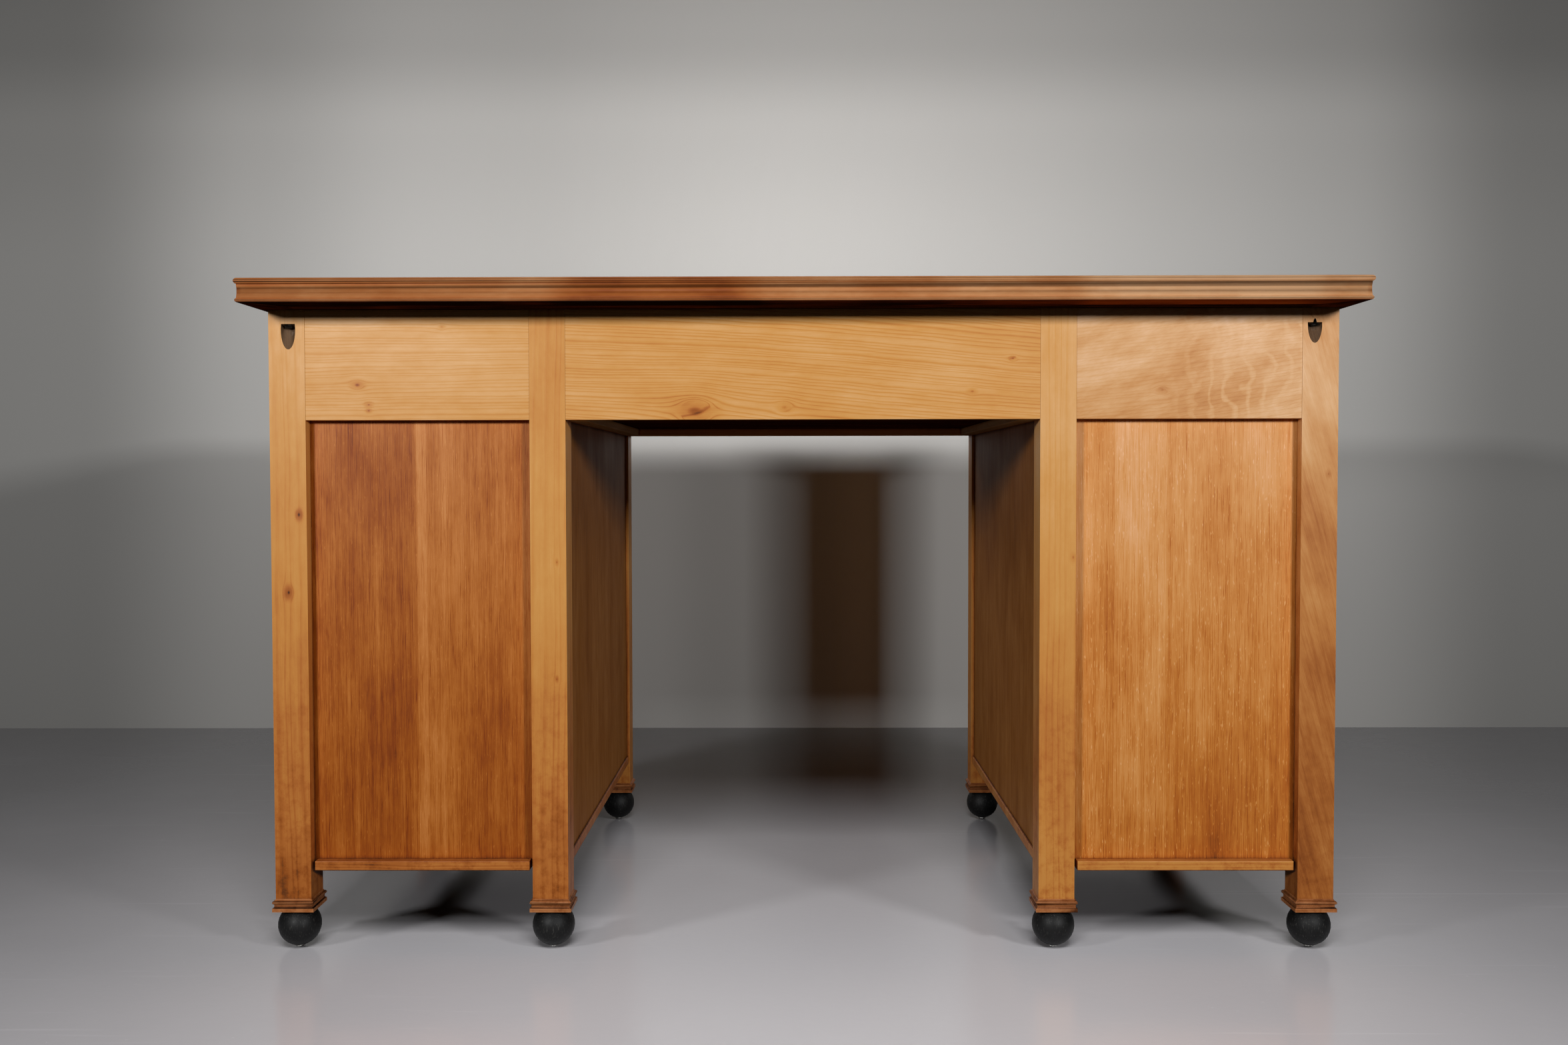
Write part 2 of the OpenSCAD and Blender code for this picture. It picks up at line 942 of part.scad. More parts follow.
module door_panel(swell = 0) {
    block([door_x0 + stile_w - DOOR_GROOVE, door_panel_y, door_z0 + stile_w - DOOR_GROOVE],
          [door_x1 - stile_w + DOOR_GROOVE, door_panel_y + door_panel_t, door_z1 - stile_w + DOOR_GROOVE],
          swell);
}

// Stub tenons of one door rail, in line with the panel's groove
module door_rail_core(z, swell = 0) {
    block([door_x0 + stile_w - tenon_l, door_panel_y, z + DOOR_GROOVE],
          [door_x1 - stile_w + tenon_l, door_panel_y + door_panel_t, z + stile_w - DOOR_GROOVE], swell);
}

module door_rail(z) {
    difference() {
        union() {
            block([door_x0 + stile_w + glue_gap, front_y, z],
                  [door_x1 - stile_w - glue_gap, door_back, z + stile_w]);
            door_rail_core(z);
        }
        door_panel(glue_gap);
    }
}

module door_stile(x) {
    difference() {
        block([x, front_y, door_z0], [x + stile_w, door_back, door_z1]);
        door_panel(glue_gap);
        door_rail_core(door_z0, glue_gap);
        door_rail_core(door_z1 - stile_w, glue_gap);
        leaf_cut();
        spindle_bore();
    }
}

module door_frame(side) {
    color(BLOND)
        on_side(side) {
            door_stile(door_x0);
            door_stile(door_x1 - stile_w);
            door_rail(door_z0);
            door_rail(door_z1 - stile_w);
        }
}

module door_panel_side(side) {
    color(OAK)
        on_side(side)
            door_panel();
}

// Butt hinges: five knuckles, of which the post's leaf has three and the door's leaf two

KNUCKLES = 5;
knuckle_h = hinge_h / KNUCKLES;
KNUCKLE_GAP = 0.3;
HINGE_LOW = [door_z0 + hinge_in, door_z1 - hinge_in - hinge_h];

// Both leaves' plates for one hinge: +1 is the door's and -1 the post's
module leaf_plate(hand, swell = 0) {
    edge = hand > 0 ? door_x0 : bay_x0;
    block([min(edge, edge + hand * leaf_t), hinge_y, 0],
          [max(edge, edge + hand * leaf_t), front_y + leaf_w, hinge_h], swell);
}

module leaf_cut() {
    for (z = HINGE_LOW)
        translate([0, 0, z]) {
            leaf_plate(1, glue_gap);
            leaf_plate(-1, glue_gap);
        }
}

module hinge_axis() {
    translate([hinge_x, hinge_y, 0])
        children();
}

module knuckles(first, count, bore_d) {
    hinge_axis()
        for (i = [0 : count - 1])
            translate([0, 0, knuckle_h * (first + 2 * i) + KNUCKLE_GAP / 2])
                difference() {
                    cylinder(d = knuckle_d, h = knuckle_h - KNUCKLE_GAP);
                    translate([0, 0, -1])
                        cylinder(d = bore_d, h = knuckle_h + 2);
                }
}

// Room cut from a leaf's plate round the other leaf's knuckles
module knuckle_room(first, count) {
    hinge_axis()
        for (i = [0 : count - 1])
            translate([0, 0, knuckle_h * (first + 2 * i) - KNUCKLE_GAP / 2])
                cylinder(d = knuckle_d + 2 * run_gap, h = knuckle_h + KNUCKLE_GAP);
}

module hinge_leaf(hand, first, count, other_first, other_count, bore_d) {
    for (z = HINGE_LOW)
        translate([0, 0, z]) {
            knuckles(first, count, bore_d);
            difference() {
                leaf_plate(hand);
                knuckle_room(other_first, other_count);
                hinge_axis()
                    translate([0, 0, -1])
                        cylinder(d = (knuckle_d + bore_d) / 2, h = hinge_h + 2);
            }
        }
}

module door_hinge_leaves(side) {
    color(BRASS)
        on_side(side)
            hinge_leaf(1, 1, 2, 0, 3, pin_d + 2 * pin_gap);
}

module post_hinge_leaves() {
    color(BRASS)
        both_sides()
            hinge_leaf(-1, 0, 3, 1, 2, pin_d);
}

module hinge_pins() {
    color(STEEL)
        both_sides()
            for (z = HINGE_LOW)
                hinge_axis()
                    translate([0, 0, z])
                        cylinder(d = pin_d, h = hinge_h);
}

// Turn latches: a spindle through the closing stile, with a tongue that turns behind the post

latch_l = door_gap + stile_w / 2 + latch_reach;
latch_y = door_back + run_gap;
LATCH_ROOM = 1;
latch_sweep = sqrt(pow(latch_l, 2) + pow(latch_w / 2, 2));
latch_drop = sqrt(pow(latch_sweep, 2) - pow(latch_l - latch_reach, 2));

module at_spindle() {
    translate([spindle_x, 0, latch_z])
        children();
}

module spindle(d, y0, y1) {
    at_spindle()
        translate([0, y1, 0])
            outward()
                cylinder(d = d, h = y1 - y0);
}

module spindle_bore() {
    spindle(spindle_d + 2 * pin_gap, front_y - 1, door_back + 1);
}

// The tongue hangs straight down when the door is free
module latch(side) {
    color(BRASS)
        on_side(side) {
            spindle(spindle_d, front_y - SPINDLE_HOLD, latch_y + latch_t);
            at_spindle() {
                block([-latch_w / 2, latch_y, -latch_l + latch_w / 2], [latch_w / 2, latch_y + latch_t, 0]);
                for (z = [0, -latch_l + latch_w / 2])
                    translate([0, latch_y + latch_t, z])
                        outward()
                            cylinder(d = latch_w, h = latch_t);
            }
        }
}

// Slot in the inner front post that the tongue turns into from below
module latch_slot() {
    at_spindle()
        block([0, latch_y - LATCH_ROOM, -latch_drop - LATCH_ROOM],
              [latch_l + LATCH_ROOM, latch_y + latch_t + LATCH_ROOM, latch_w / 2 + LATCH_ROOM]);
}

module door_knob(side) {
    color(EBONISED)
        on_side(side)
            difference() {
                at_spindle()
                    translate([0, front_y - run_gap, 0])
                        outward()
                            knob_shape();
                spindle(spindle_d + 2 * glue_gap, front_y - SPINDLE_HOLD - glue_gap, front_y + 1);
            }
}

// Shelves

shelf_low = shelf_z - shelf_t;
end_panel_in = end_panel_x + panel_t;

module cupboard_shelf() {
    gap = run_gap;
    block([end_panel_in + gap, bay_y0 + gap, shelf_low], [knee_panel_x - gap, bay_y1 - gap, shelf_z]);
    block([bay_x0 + gap, door_back + 2 * gap, shelf_low], [bay_x1 - gap, back_panel_y - gap, shelf_z]);
}

module cupboard_shelves() {
    color(PALE)
        both_sides()
            cupboard_shelf();
}

// Battens under the shelves, between the front and back posts
module shelf_battens() {
    z = shelf_low - batten_h;
    color(PALE)
        both_sides() {
            block([end_panel_in, bay_y0, z], [bay_x0, bay_y1, shelf_low]);
            block([bay_x1, bay_y0, z], [knee_panel_x, bay_y1, shelf_low]);
        }
}

top_panel();
top_edging(180, top_w, edge_y);  // top_edging_front
top_edging(0, top_w, edge_y);  // top_edging_back
top_edging(90, top_d, edge_x);  // top_edging_left
top_edging(270, top_d, edge_x);  // top_edging_right
post("left", outer_post_x, front_post_y);  // post_outer_left_front
post("left", outer_post_x, back_post_y);  // post_outer_left_back
post("left", inner_post_x, front_post_y);  // post_inner_left_front
post("left", inner_post_x, back_post_y);  // post_inner_left_back
post("right", inner_post_x, front_post_y);  // post_inner_right_front
post("right", inner_post_x, back_post_y);  // post_inner_right_back
post("right", outer_post_x, front_post_y);  // post_outer_right_front
post("right", outer_post_x, back_post_y);  // post_outer_right_back
post_collars();
ball_feet();
foot_glides();
back_frieze_side("left");  // back_frieze_left
back_frieze_centre();
back_frieze_side("right");  // back_frieze_right
end_friezes();
kneehole_friezes();
front_top_rails();
drawer_rails();
drawer_runners();
drawer_kickers();
drawer_stops();
back_panel_side("left");  // back_panel_left
back_panel_side("right");  // back_panel_right
end_panels();
kneehole_panels();
kneehole_ceiling();
bottom_boards();
cupboard_shelves();
shelf_battens();
top_screws();
drawer_front(left_x0, left_x1);  // drawer_left_front
drawer_box(left_x0, left_x1);  // drawer_left_box
drawer_bottom(left_x0, left_x1);  // drawer_left_bottom
drawer_knobs(left_x0, left_x1);  // drawer_left_knob
drawer_front(-wide_x, wide_x);  // drawer_centre_front
drawer_box(-wide_x, wide_x);  // drawer_centre_box
drawer_bottom(-wide_x, wide_x);  // drawer_centre_bottom
drawer_knobs(-wide_x, wide_x);  // drawer_centre_knobs
drawer_front(-left_x1, -left_x0);  // drawer_right_front
drawer_box(-left_x1, -left_x0);  // drawer_right_box
drawer_bottom(-left_x1, -left_x0);  // drawer_right_bottom
drawer_knobs(-left_x1, -left_x0);  // drawer_right_knob
door_frame("left");  // door_left_frame
door_panel_side("left");  // door_left_panel
door_hinge_leaves("left");  // door_left_hinge_leaves
door_knob("left");  // door_left_knob
latch("left");  // door_left_latch
door_frame("right");  // door_right_frame
door_panel_side("right");  // door_right_panel
door_hinge_leaves("right");  // door_right_hinge_leaves
door_knob("right");  // door_right_knob
latch("right");  // door_right_latch
post_hinge_leaves();
hinge_pins();
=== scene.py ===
# A kneehole desk in blond wood and oak veneer, seen from behind, in a plain studio.
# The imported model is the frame; this script gives it its finish, the studio and the camera.
# The desk's back faces +Y, its right end is +X, and all lengths are in metres.
import json
import math

import bpy
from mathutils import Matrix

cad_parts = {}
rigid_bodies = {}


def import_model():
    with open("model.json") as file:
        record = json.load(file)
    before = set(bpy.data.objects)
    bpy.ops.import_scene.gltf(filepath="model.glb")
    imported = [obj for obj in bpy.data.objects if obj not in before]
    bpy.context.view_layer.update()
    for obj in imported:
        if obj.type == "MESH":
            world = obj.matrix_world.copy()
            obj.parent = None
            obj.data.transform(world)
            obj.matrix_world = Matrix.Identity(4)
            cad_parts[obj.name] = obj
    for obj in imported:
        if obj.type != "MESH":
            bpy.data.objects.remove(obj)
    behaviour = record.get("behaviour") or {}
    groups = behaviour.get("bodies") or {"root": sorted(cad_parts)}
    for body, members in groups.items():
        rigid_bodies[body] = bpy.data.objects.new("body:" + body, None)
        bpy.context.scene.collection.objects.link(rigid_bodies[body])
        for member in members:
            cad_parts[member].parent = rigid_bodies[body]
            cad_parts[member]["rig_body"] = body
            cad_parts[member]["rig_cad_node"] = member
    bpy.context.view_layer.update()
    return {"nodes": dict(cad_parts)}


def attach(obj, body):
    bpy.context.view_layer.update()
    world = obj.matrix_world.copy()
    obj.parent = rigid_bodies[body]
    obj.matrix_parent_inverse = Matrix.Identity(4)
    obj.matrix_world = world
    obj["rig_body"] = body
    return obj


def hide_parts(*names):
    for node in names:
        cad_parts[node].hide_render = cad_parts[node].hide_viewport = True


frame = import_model()
nodes = frame["nodes"]


# Studio camera
# It stands behind the desk a little below the height of its top and looks very slightly down.
# Its place, lens and angles come from lines and corners of the desk in the photograph.
bpy.context.scene.view_settings.view_transform = "Standard"
bpy.ops.object.select_all(action="DESELECT")
bpy.ops.object.camera_add(
    location=(0.0116, 1.9755, 0.5580), rotation=(1.538796, 0.001799, -3.135450)
)
camera = bpy.context.active_object
camera.name = "studio_camera"
camera.data.lens = 32.609
camera.data.sensor_width = 36.0
camera.data.clip_end = 40.0
bpy.context.scene.camera = camera


# Studio lamps
# Soft boxes stand behind the camera, left and right, a little above the desk's top, so its
# edge throws a narrow line of shadow. Each lamp is shaded from all but one group of things.
DESK_MIDDLE = (0.0, 0.0, 0.6)
WALL_Y = -1.17
groups = {
    name: bpy.data.collections.new(name)
    for name in ("desk_only", "wall_and_floor", "wall_only", "floor_and_top")
}


def soft_box(name, lit, place, size, power, aim=DESK_MIDDLE, spread=180.0):
    """An area lamp of a real soft box's size, turned to its aim, that lights one group."""
    bpy.ops.object.light_add(type="AREA", location=place)
    lamp = bpy.context.active_object
    lamp.name = name
    away = lamp.location - type(lamp.location)(aim)
    lamp.rotation_euler = away.to_track_quat("Z", "Y").to_euler()
    lamp.data.shape = "RECTANGLE"
    lamp.data.size, lamp.data.size_y = size
    lamp.data.energy = power
    lamp.data.spread = math.radians(spread)
    lamp.light_linking.receiver_collection = groups[lit]
    return lamp


# A pair lights the desk and gives its varnish a sheen.
KEY_SIZE, KEY_POWER = (0.32, 0.30), 33.0
soft_box("lamp_left", "desk_only", (1.25, 2.40, 1.12), KEY_SIZE, KEY_POWER)
soft_box("lamp_right", "desk_only", (-1.25, 2.40, 1.12), KEY_SIZE, KEY_POWER)

# Two more stand further out, cast the desk's shadow on the wall and the floor, and leave no
# glare there.
SIDE_SIZE = (0.36, 0.16)
for side_lamp in (
    soft_box("lamp_side_left", "wall_and_floor", (2.20, 1.90, 1.24), SIDE_SIZE, 30.5),
    soft_box("lamp_side_right", "wall_and_floor", (-1.65, 1.90, 1.24), SIDE_SIZE, 28.5),
):
    side_lamp.visible_glossy = False

# One brightens the middle of the wall, a high one the floor and the desk's top, and a weak
# large one the sitter's side of the desk.
soft_box("lamp_backdrop", "wall_only", (0.05, 2.05, 1.36), (0.4, 0.2), 2.45,
         aim=(0.0, WALL_Y, 1.15), spread=50.0)
soft_box("lamp_above", "floor_and_top", (0.0, 2.5, 2.5), (1.6, 0.9), 106.0,
         aim=(0.0, 0.3, 0.0))
soft_box("lamp_front", "desk_only", (0.2, -2.4, 2.1), (1.8, 1.2), 26.0, aim=(0.0, 0.0, 0.5))

for piece in nodes.values():
    groups["desk_only"].objects.link(piece)
groups["floor_and_top"].objects.link(nodes["top_panel"])


# Room light
# The dark room around the soft boxes gives a faint grey light; the camera and glossy
# surfaces see a mid grey, as of the same painted studio wall further off.
def shade(hexcode):
    """An sRGB hex colour as Blender's linear RGBA."""
    parts = [int(hexcode[i : i + 2], 16) / 255 for i in (0, 2, 4)]
    return [c / 12.92 if c <= 0.04045 else ((c + 0.055) / 1.055) ** 2.4 for c in parts] + [1.0]


def add(tree, kind, feeds=(), stops=(), blend="LINEAR", **settings):
    """Adds one node with its settings; each input is fed a value, a node or a socket.

    Inputs go by name or place. A Map Range's places 1 to 4 are the range that it reads,
    from low to high, and the two values that it gives for them. A ramp's stops are each a
    place and a hex colour or a level of grey, and blend is how it runs between them.
    """
    made = tree.nodes.new("ShaderNode" + kind)
    for name, value in settings.items():
        setattr(made, name, value)
    if stops:
        made.color_ramp.interpolation = blend
        elements = made.color_ramp.elements
        elements.remove(elements[1])
    for i, (where, colour) in enumerate(stops):
        stop = elements.new(where) if i else elements[0]
        stop.position = where
        stop.color = shade(colour) if isinstance(colour, str) else (colour, colour, colour, 1.0)
    for place, value in dict(feeds).items():
        if isinstance(value, bpy.types.Node):
            value = value.outputs[0]
        if isinstance(value, bpy.types.NodeSocket):
            tree.links.new(value, made.inputs[place])
        else:
            made.inputs[place].default_value = value
    return made


def seen_directly(tree):
    """One where a camera, glossy or transmission ray looks, nought for diffuse light."""
    path = add(tree, "LightPath").outputs
    seen = path["Is Camera Ray"]
    for ray in ("Is Glossy Ray", "Is Transmission Ray"):
        seen = add(tree, "Math", {0: seen, 1: path[ray]}, operation="ADD", use_clamp=True)
    return seen


room = bpy.data.worlds.new("room")
room.use_nodes = True
bpy.context.scene.world = room
tree = room.node_tree
tree.nodes.clear()
dim = add(tree, "Background", {"Color": shade("FFFFFF"), "Strength": 0.005})
grey = add(tree, "Background", {"Color": shade("5A5B59"), "Strength": 1.0})
both = add(tree, "MixShader", {0: seen_directly(tree), 1: dim, 2: grey})
add(tree, "OutputWorld", {"Surface": both})


# Floor
# A poured studio floor with a thin grey sealer: pale, slightly cloudy, satin, so the ball
# feet and pedestals show in it as soft reflections.
STAGE_SIZE = 16.0

# To diffuse light the floor and the wall are this dark grey, so they throw little of it back.
BOUNCE_SHADE = "242424"


def blank(name):
    """A new empty material and its node tree."""
    made = bpy.data.materials.new(name)
    made.use_nodes = True
    made.node_tree.nodes.clear()
    return made, made.node_tree


bpy.ops.mesh.primitive_plane_add(size=STAGE_SIZE, location=(0.0, 0.0, 0.0))
floor = bpy.context.active_object
floor.name = "studio_floor"
sealed_floor, tree = blank("sealed_grey_floor")
here = add(tree, "TexCoord").outputs["Object"]
cloud = add(tree, "TexNoise", {"Vector": here, "Scale": 2.2, "Detail": 5.0, "Roughness": 0.6})
speck = add(tree, "TexNoise", {"Vector": here, "Scale": 90.0, "Detail": 3.0, "Roughness": 0.7})
place = add(tree, "SeparateXYZ", {0: here}).outputs

# Painted light: the floor's grey is drawn darker to the sides and towards the wall, where the
# light falls off.
aside = add(tree, "Math", {0: place[0]}, operation="ABSOLUTE")
across = add(tree, "MapRange", {"Value": aside, 1: 0.0, 2: 1.5, 3: 1.0, 4: 0.40},
             interpolation_type="SMOOTHSTEP")
back = add(tree, "MapRange", {"Value": place[1], 1: -1.2, 2: 0.7, 3: 0.84, 4: 1.0},
           interpolation_type="SMOOTHSTEP")
painted_light_and_marks = add(tree, "Math", {0: across, 1: back}, operation="MULTIPLY")
painted_light_and_marks = add(tree, "Math", {0: cloud, 1: 0.10, 2: painted_light_and_marks}, operation="MULTIPLY_ADD")

# Pale scuffs and specks lie on the sealer, and a filled joint runs off to one side.
JOINT_Y, JOINT_HALF_WIDTH = 0.09, 0.0013
dragged = add(tree, "Mapping",
              {"Vector": here, "Rotation": (0.0, 0.0, 0.7), "Scale": (2.5, 70.0, 1.0)})
scratch = add(tree, "TexNoise",
              {"Vector": dragged, "Scale": 1.0, "Detail": 3.0, "Distortion": 0.6})
scratch = add(tree, "MapRange", {"Value": scratch, 1: 0.64, 2: 0.70, 3: 0.0, 4: 0.05})
spots = add(tree, "MapRange", {"Value": speck, 1: 0.69, 2: 0.73, 3: 0.0, 4: 0.08})
joint = add(tree, "Math", {0: place[1], 1: JOINT_Y, 2: JOINT_HALF_WIDTH}, operation="COMPARE")
worn_off = add(tree, "MapRange", {"Value": place[0], 1: -0.7, 2: -0.2, 3: 0.10, 4: 0.0})
joint = add(tree, "Math", {0: joint, 1: worn_off}, operation="MULTIPLY")
for mark in (scratch, spots, joint):
    painted_light_and_marks = add(tree, "Math", {0: painted_light_and_marks, 1: mark}, operation="ADD")

tint = add(tree, "ValToRGB", {"Fac": painted_light_and_marks}, stops=((0.05, "000000"), (1.0, "ACAAAD")))
gloss = add(tree, "MapRange", {"Value": cloud, 1: 0.3, 2: 0.7, 3: 0.15, 4: 0.24})
dents = add(tree, "Bump", {"Height": speck, "Strength": 0.05, "Distance": 0.002})
skin = add(tree, "BsdfPrincipled", {"Base Color": tint, "Roughness": gloss, "Normal": dents})
shaded = add(tree, "BsdfDiffuse", {"Color": shade(BOUNCE_SHADE)})
both = add(tree, "MixShader", {0: seen_directly(tree), 1: shaded, 2: skin})
add(tree, "OutputMaterial", {"Surface": both})
floor.data.materials.append(sealed_floor)


# Wall
# A smooth wall painted matt grey, brightest in the middle above the desk, where a lamp lights it
# and paler grey is painted on as light. It can be seen from its room side only, so it hides
# nothing from views of the desk's front.
bpy.ops.mesh.primitive_plane_add(
    size=STAGE_SIZE, location=(0.0, WALL_Y, 0.0), rotation=(-math.pi / 2, 0.0, 0.0)
)
wall = bpy.context.active_object
wall.name = "studio_wall"
bpy.ops.object.transform_apply(location=True, rotation=True, scale=True)
painted_wall, tree = blank("matt_grey_wall")
here = add(tree, "TexCoord").outputs["Object"]
place = add(tree, "SeparateXYZ", {0: here}).outputs

# Three levels of grey, painted light and shade, follow the photograph's wall over 3.2 m of its
# width and 2 m of its height: a painted falloff across it, one up it, and a painted shadow across
# its lower part, where the desk's shadow lies. A ramp's levels end at 1, so two gains lift them.
WALL_HALF_SPAN, WALL_HEIGHT, SHADOW_GAIN, WHOLE_GAIN = 1.6, 2.0, 1.4, 1.76
span = add(tree, "MapRange", {"Value": place[0], 1: -WALL_HALF_SPAN, 2: WALL_HALF_SPAN})
height = add(tree, "Math", {0: place[2], 1: 1.0 / WALL_HEIGHT}, operation="MULTIPLY")
painted_falloff_outward = add(tree, "ValToRGB", {"Fac": span}, blend="EASE", stops=(
    (0.0, 0.50), (0.125, 0.78), (0.22, 0.80), (0.34, 0.83), (0.66, 0.83), (0.78, 0.94),
    (0.875, 0.84), (1.0, 0.53)))
painted_falloff_upward = add(tree, "ValToRGB", {"Fac": height}, blend="EASE", stops=(
    (0.0, 1.0), (0.50, 1.0), (0.66, 0.88), (0.76, 0.66), (1.0, 0.36)))
painted_shadow = add(tree, "ValToRGB", {"Fac": span}, blend="EASE", stops=(
    (0.0, 0.80), (0.12, 0.80), (0.37, 0.70), (0.42, 0.68), (0.455, 1.0), (0.485, 0.76),
    (0.515, 0.54), (0.56, 0.50), (0.60, 0.56), (0.68, 0.58), (0.88, 0.67), (1.0, 0.67)))
painted_shadow = add(tree, "Math", {0: painted_shadow, 1: SHADOW_GAIN}, operation="MULTIPLY")

# The painted shadow on the lower part ends in a soft edge, which starts lower down away from the
# desk.
PAINTED_SHADOW_TOP = 0.64
aside = add(tree, "Math", {0: place[0]}, operation="ABSOLUTE")
foot = add(tree, "MapRange", {"Value": aside, 1: 0.35, 2: 1.1, 3: 0.56, 4: 0.49})
painted_shadow = add(tree, "MapRange", {"Value": place[2], 1: foot, 2: PAINTED_SHADOW_TOP, 3: painted_shadow, 4: 1.0},
           interpolation_type="SMOOTHSTEP")
painted_shadow = add(tree, "Math", {0: painted_shadow, 1: WHOLE_GAIN}, operation="MULTIPLY")
painted_light_and_paint = add(tree, "VectorMath", {0: painted_falloff_outward, 1: painted_falloff_upward}, operation="MULTIPLY")
painted_light_and_paint = add(tree, "VectorMath", {0: painted_light_and_paint, "Scale": painted_shadow}, operation="SCALE")
painted_light_and_paint = add(tree, "VectorMath", {0: painted_light_and_paint, 1: shade("C7C6C3")[:3]}, operation="MULTIPLY")
paint = add(tree, "BsdfPrincipled",
            {"Base Color": painted_light_and_paint, "Roughness": 0.9, "Specular IOR Level": 0.1})
shaded = add(tree, "BsdfDiffuse", {"Color": shade(BOUNCE_SHADE)})
both = add(tree, "MixShader", {0: seen_directly(tree), 1: shaded, 2: paint})
clear = add(tree, "BsdfTransparent")
far_side = add(tree, "NewGeometry").outputs["Backfacing"]
either = add(tree, "MixShader", {0: far_side, 1: both, 2: clear})
add(tree, "OutputMaterial", {"Surface": either})
wall.data.materials.append(painted_wall)
wall.visible_shadow = False

for lit, surface in (("floor_and_top", floor), ("wall_and_floor", floor),
                     ("wall_and_floor", wall), ("wall_only", wall)):
    groups[lit].objects.link(surface)


# Corner posts
# Eight square posts of solid blond wood, planed and varnished, with their arrises eased by
# hand. The friezes and panels are tenoned and grooved into them.
MERGE = 0.00002


def eased(name, width=0.0005):
    """Joins a node's loose triangles and eases its arrises, live, so its own mesh stays."""
    piece = nodes[name]
    joined = piece.modifiers.new("joined", "WELD")
    joined.merge_threshold = MERGE
    arris = piece.modifiers.new("arris", "BEVEL")
    arris.width = width
    arris.segments = 2
    arris.limit_method = "ANGLE"
    arris.angle_limit = math.radians(40)
    return piece


def coat(piece, material):
    """Gives a piece one material on all its faces."""
    piece.data.materials.clear()
    piece.data.materials.append(material)
    for face in piece.data.polygons:
        face.material_index = 0


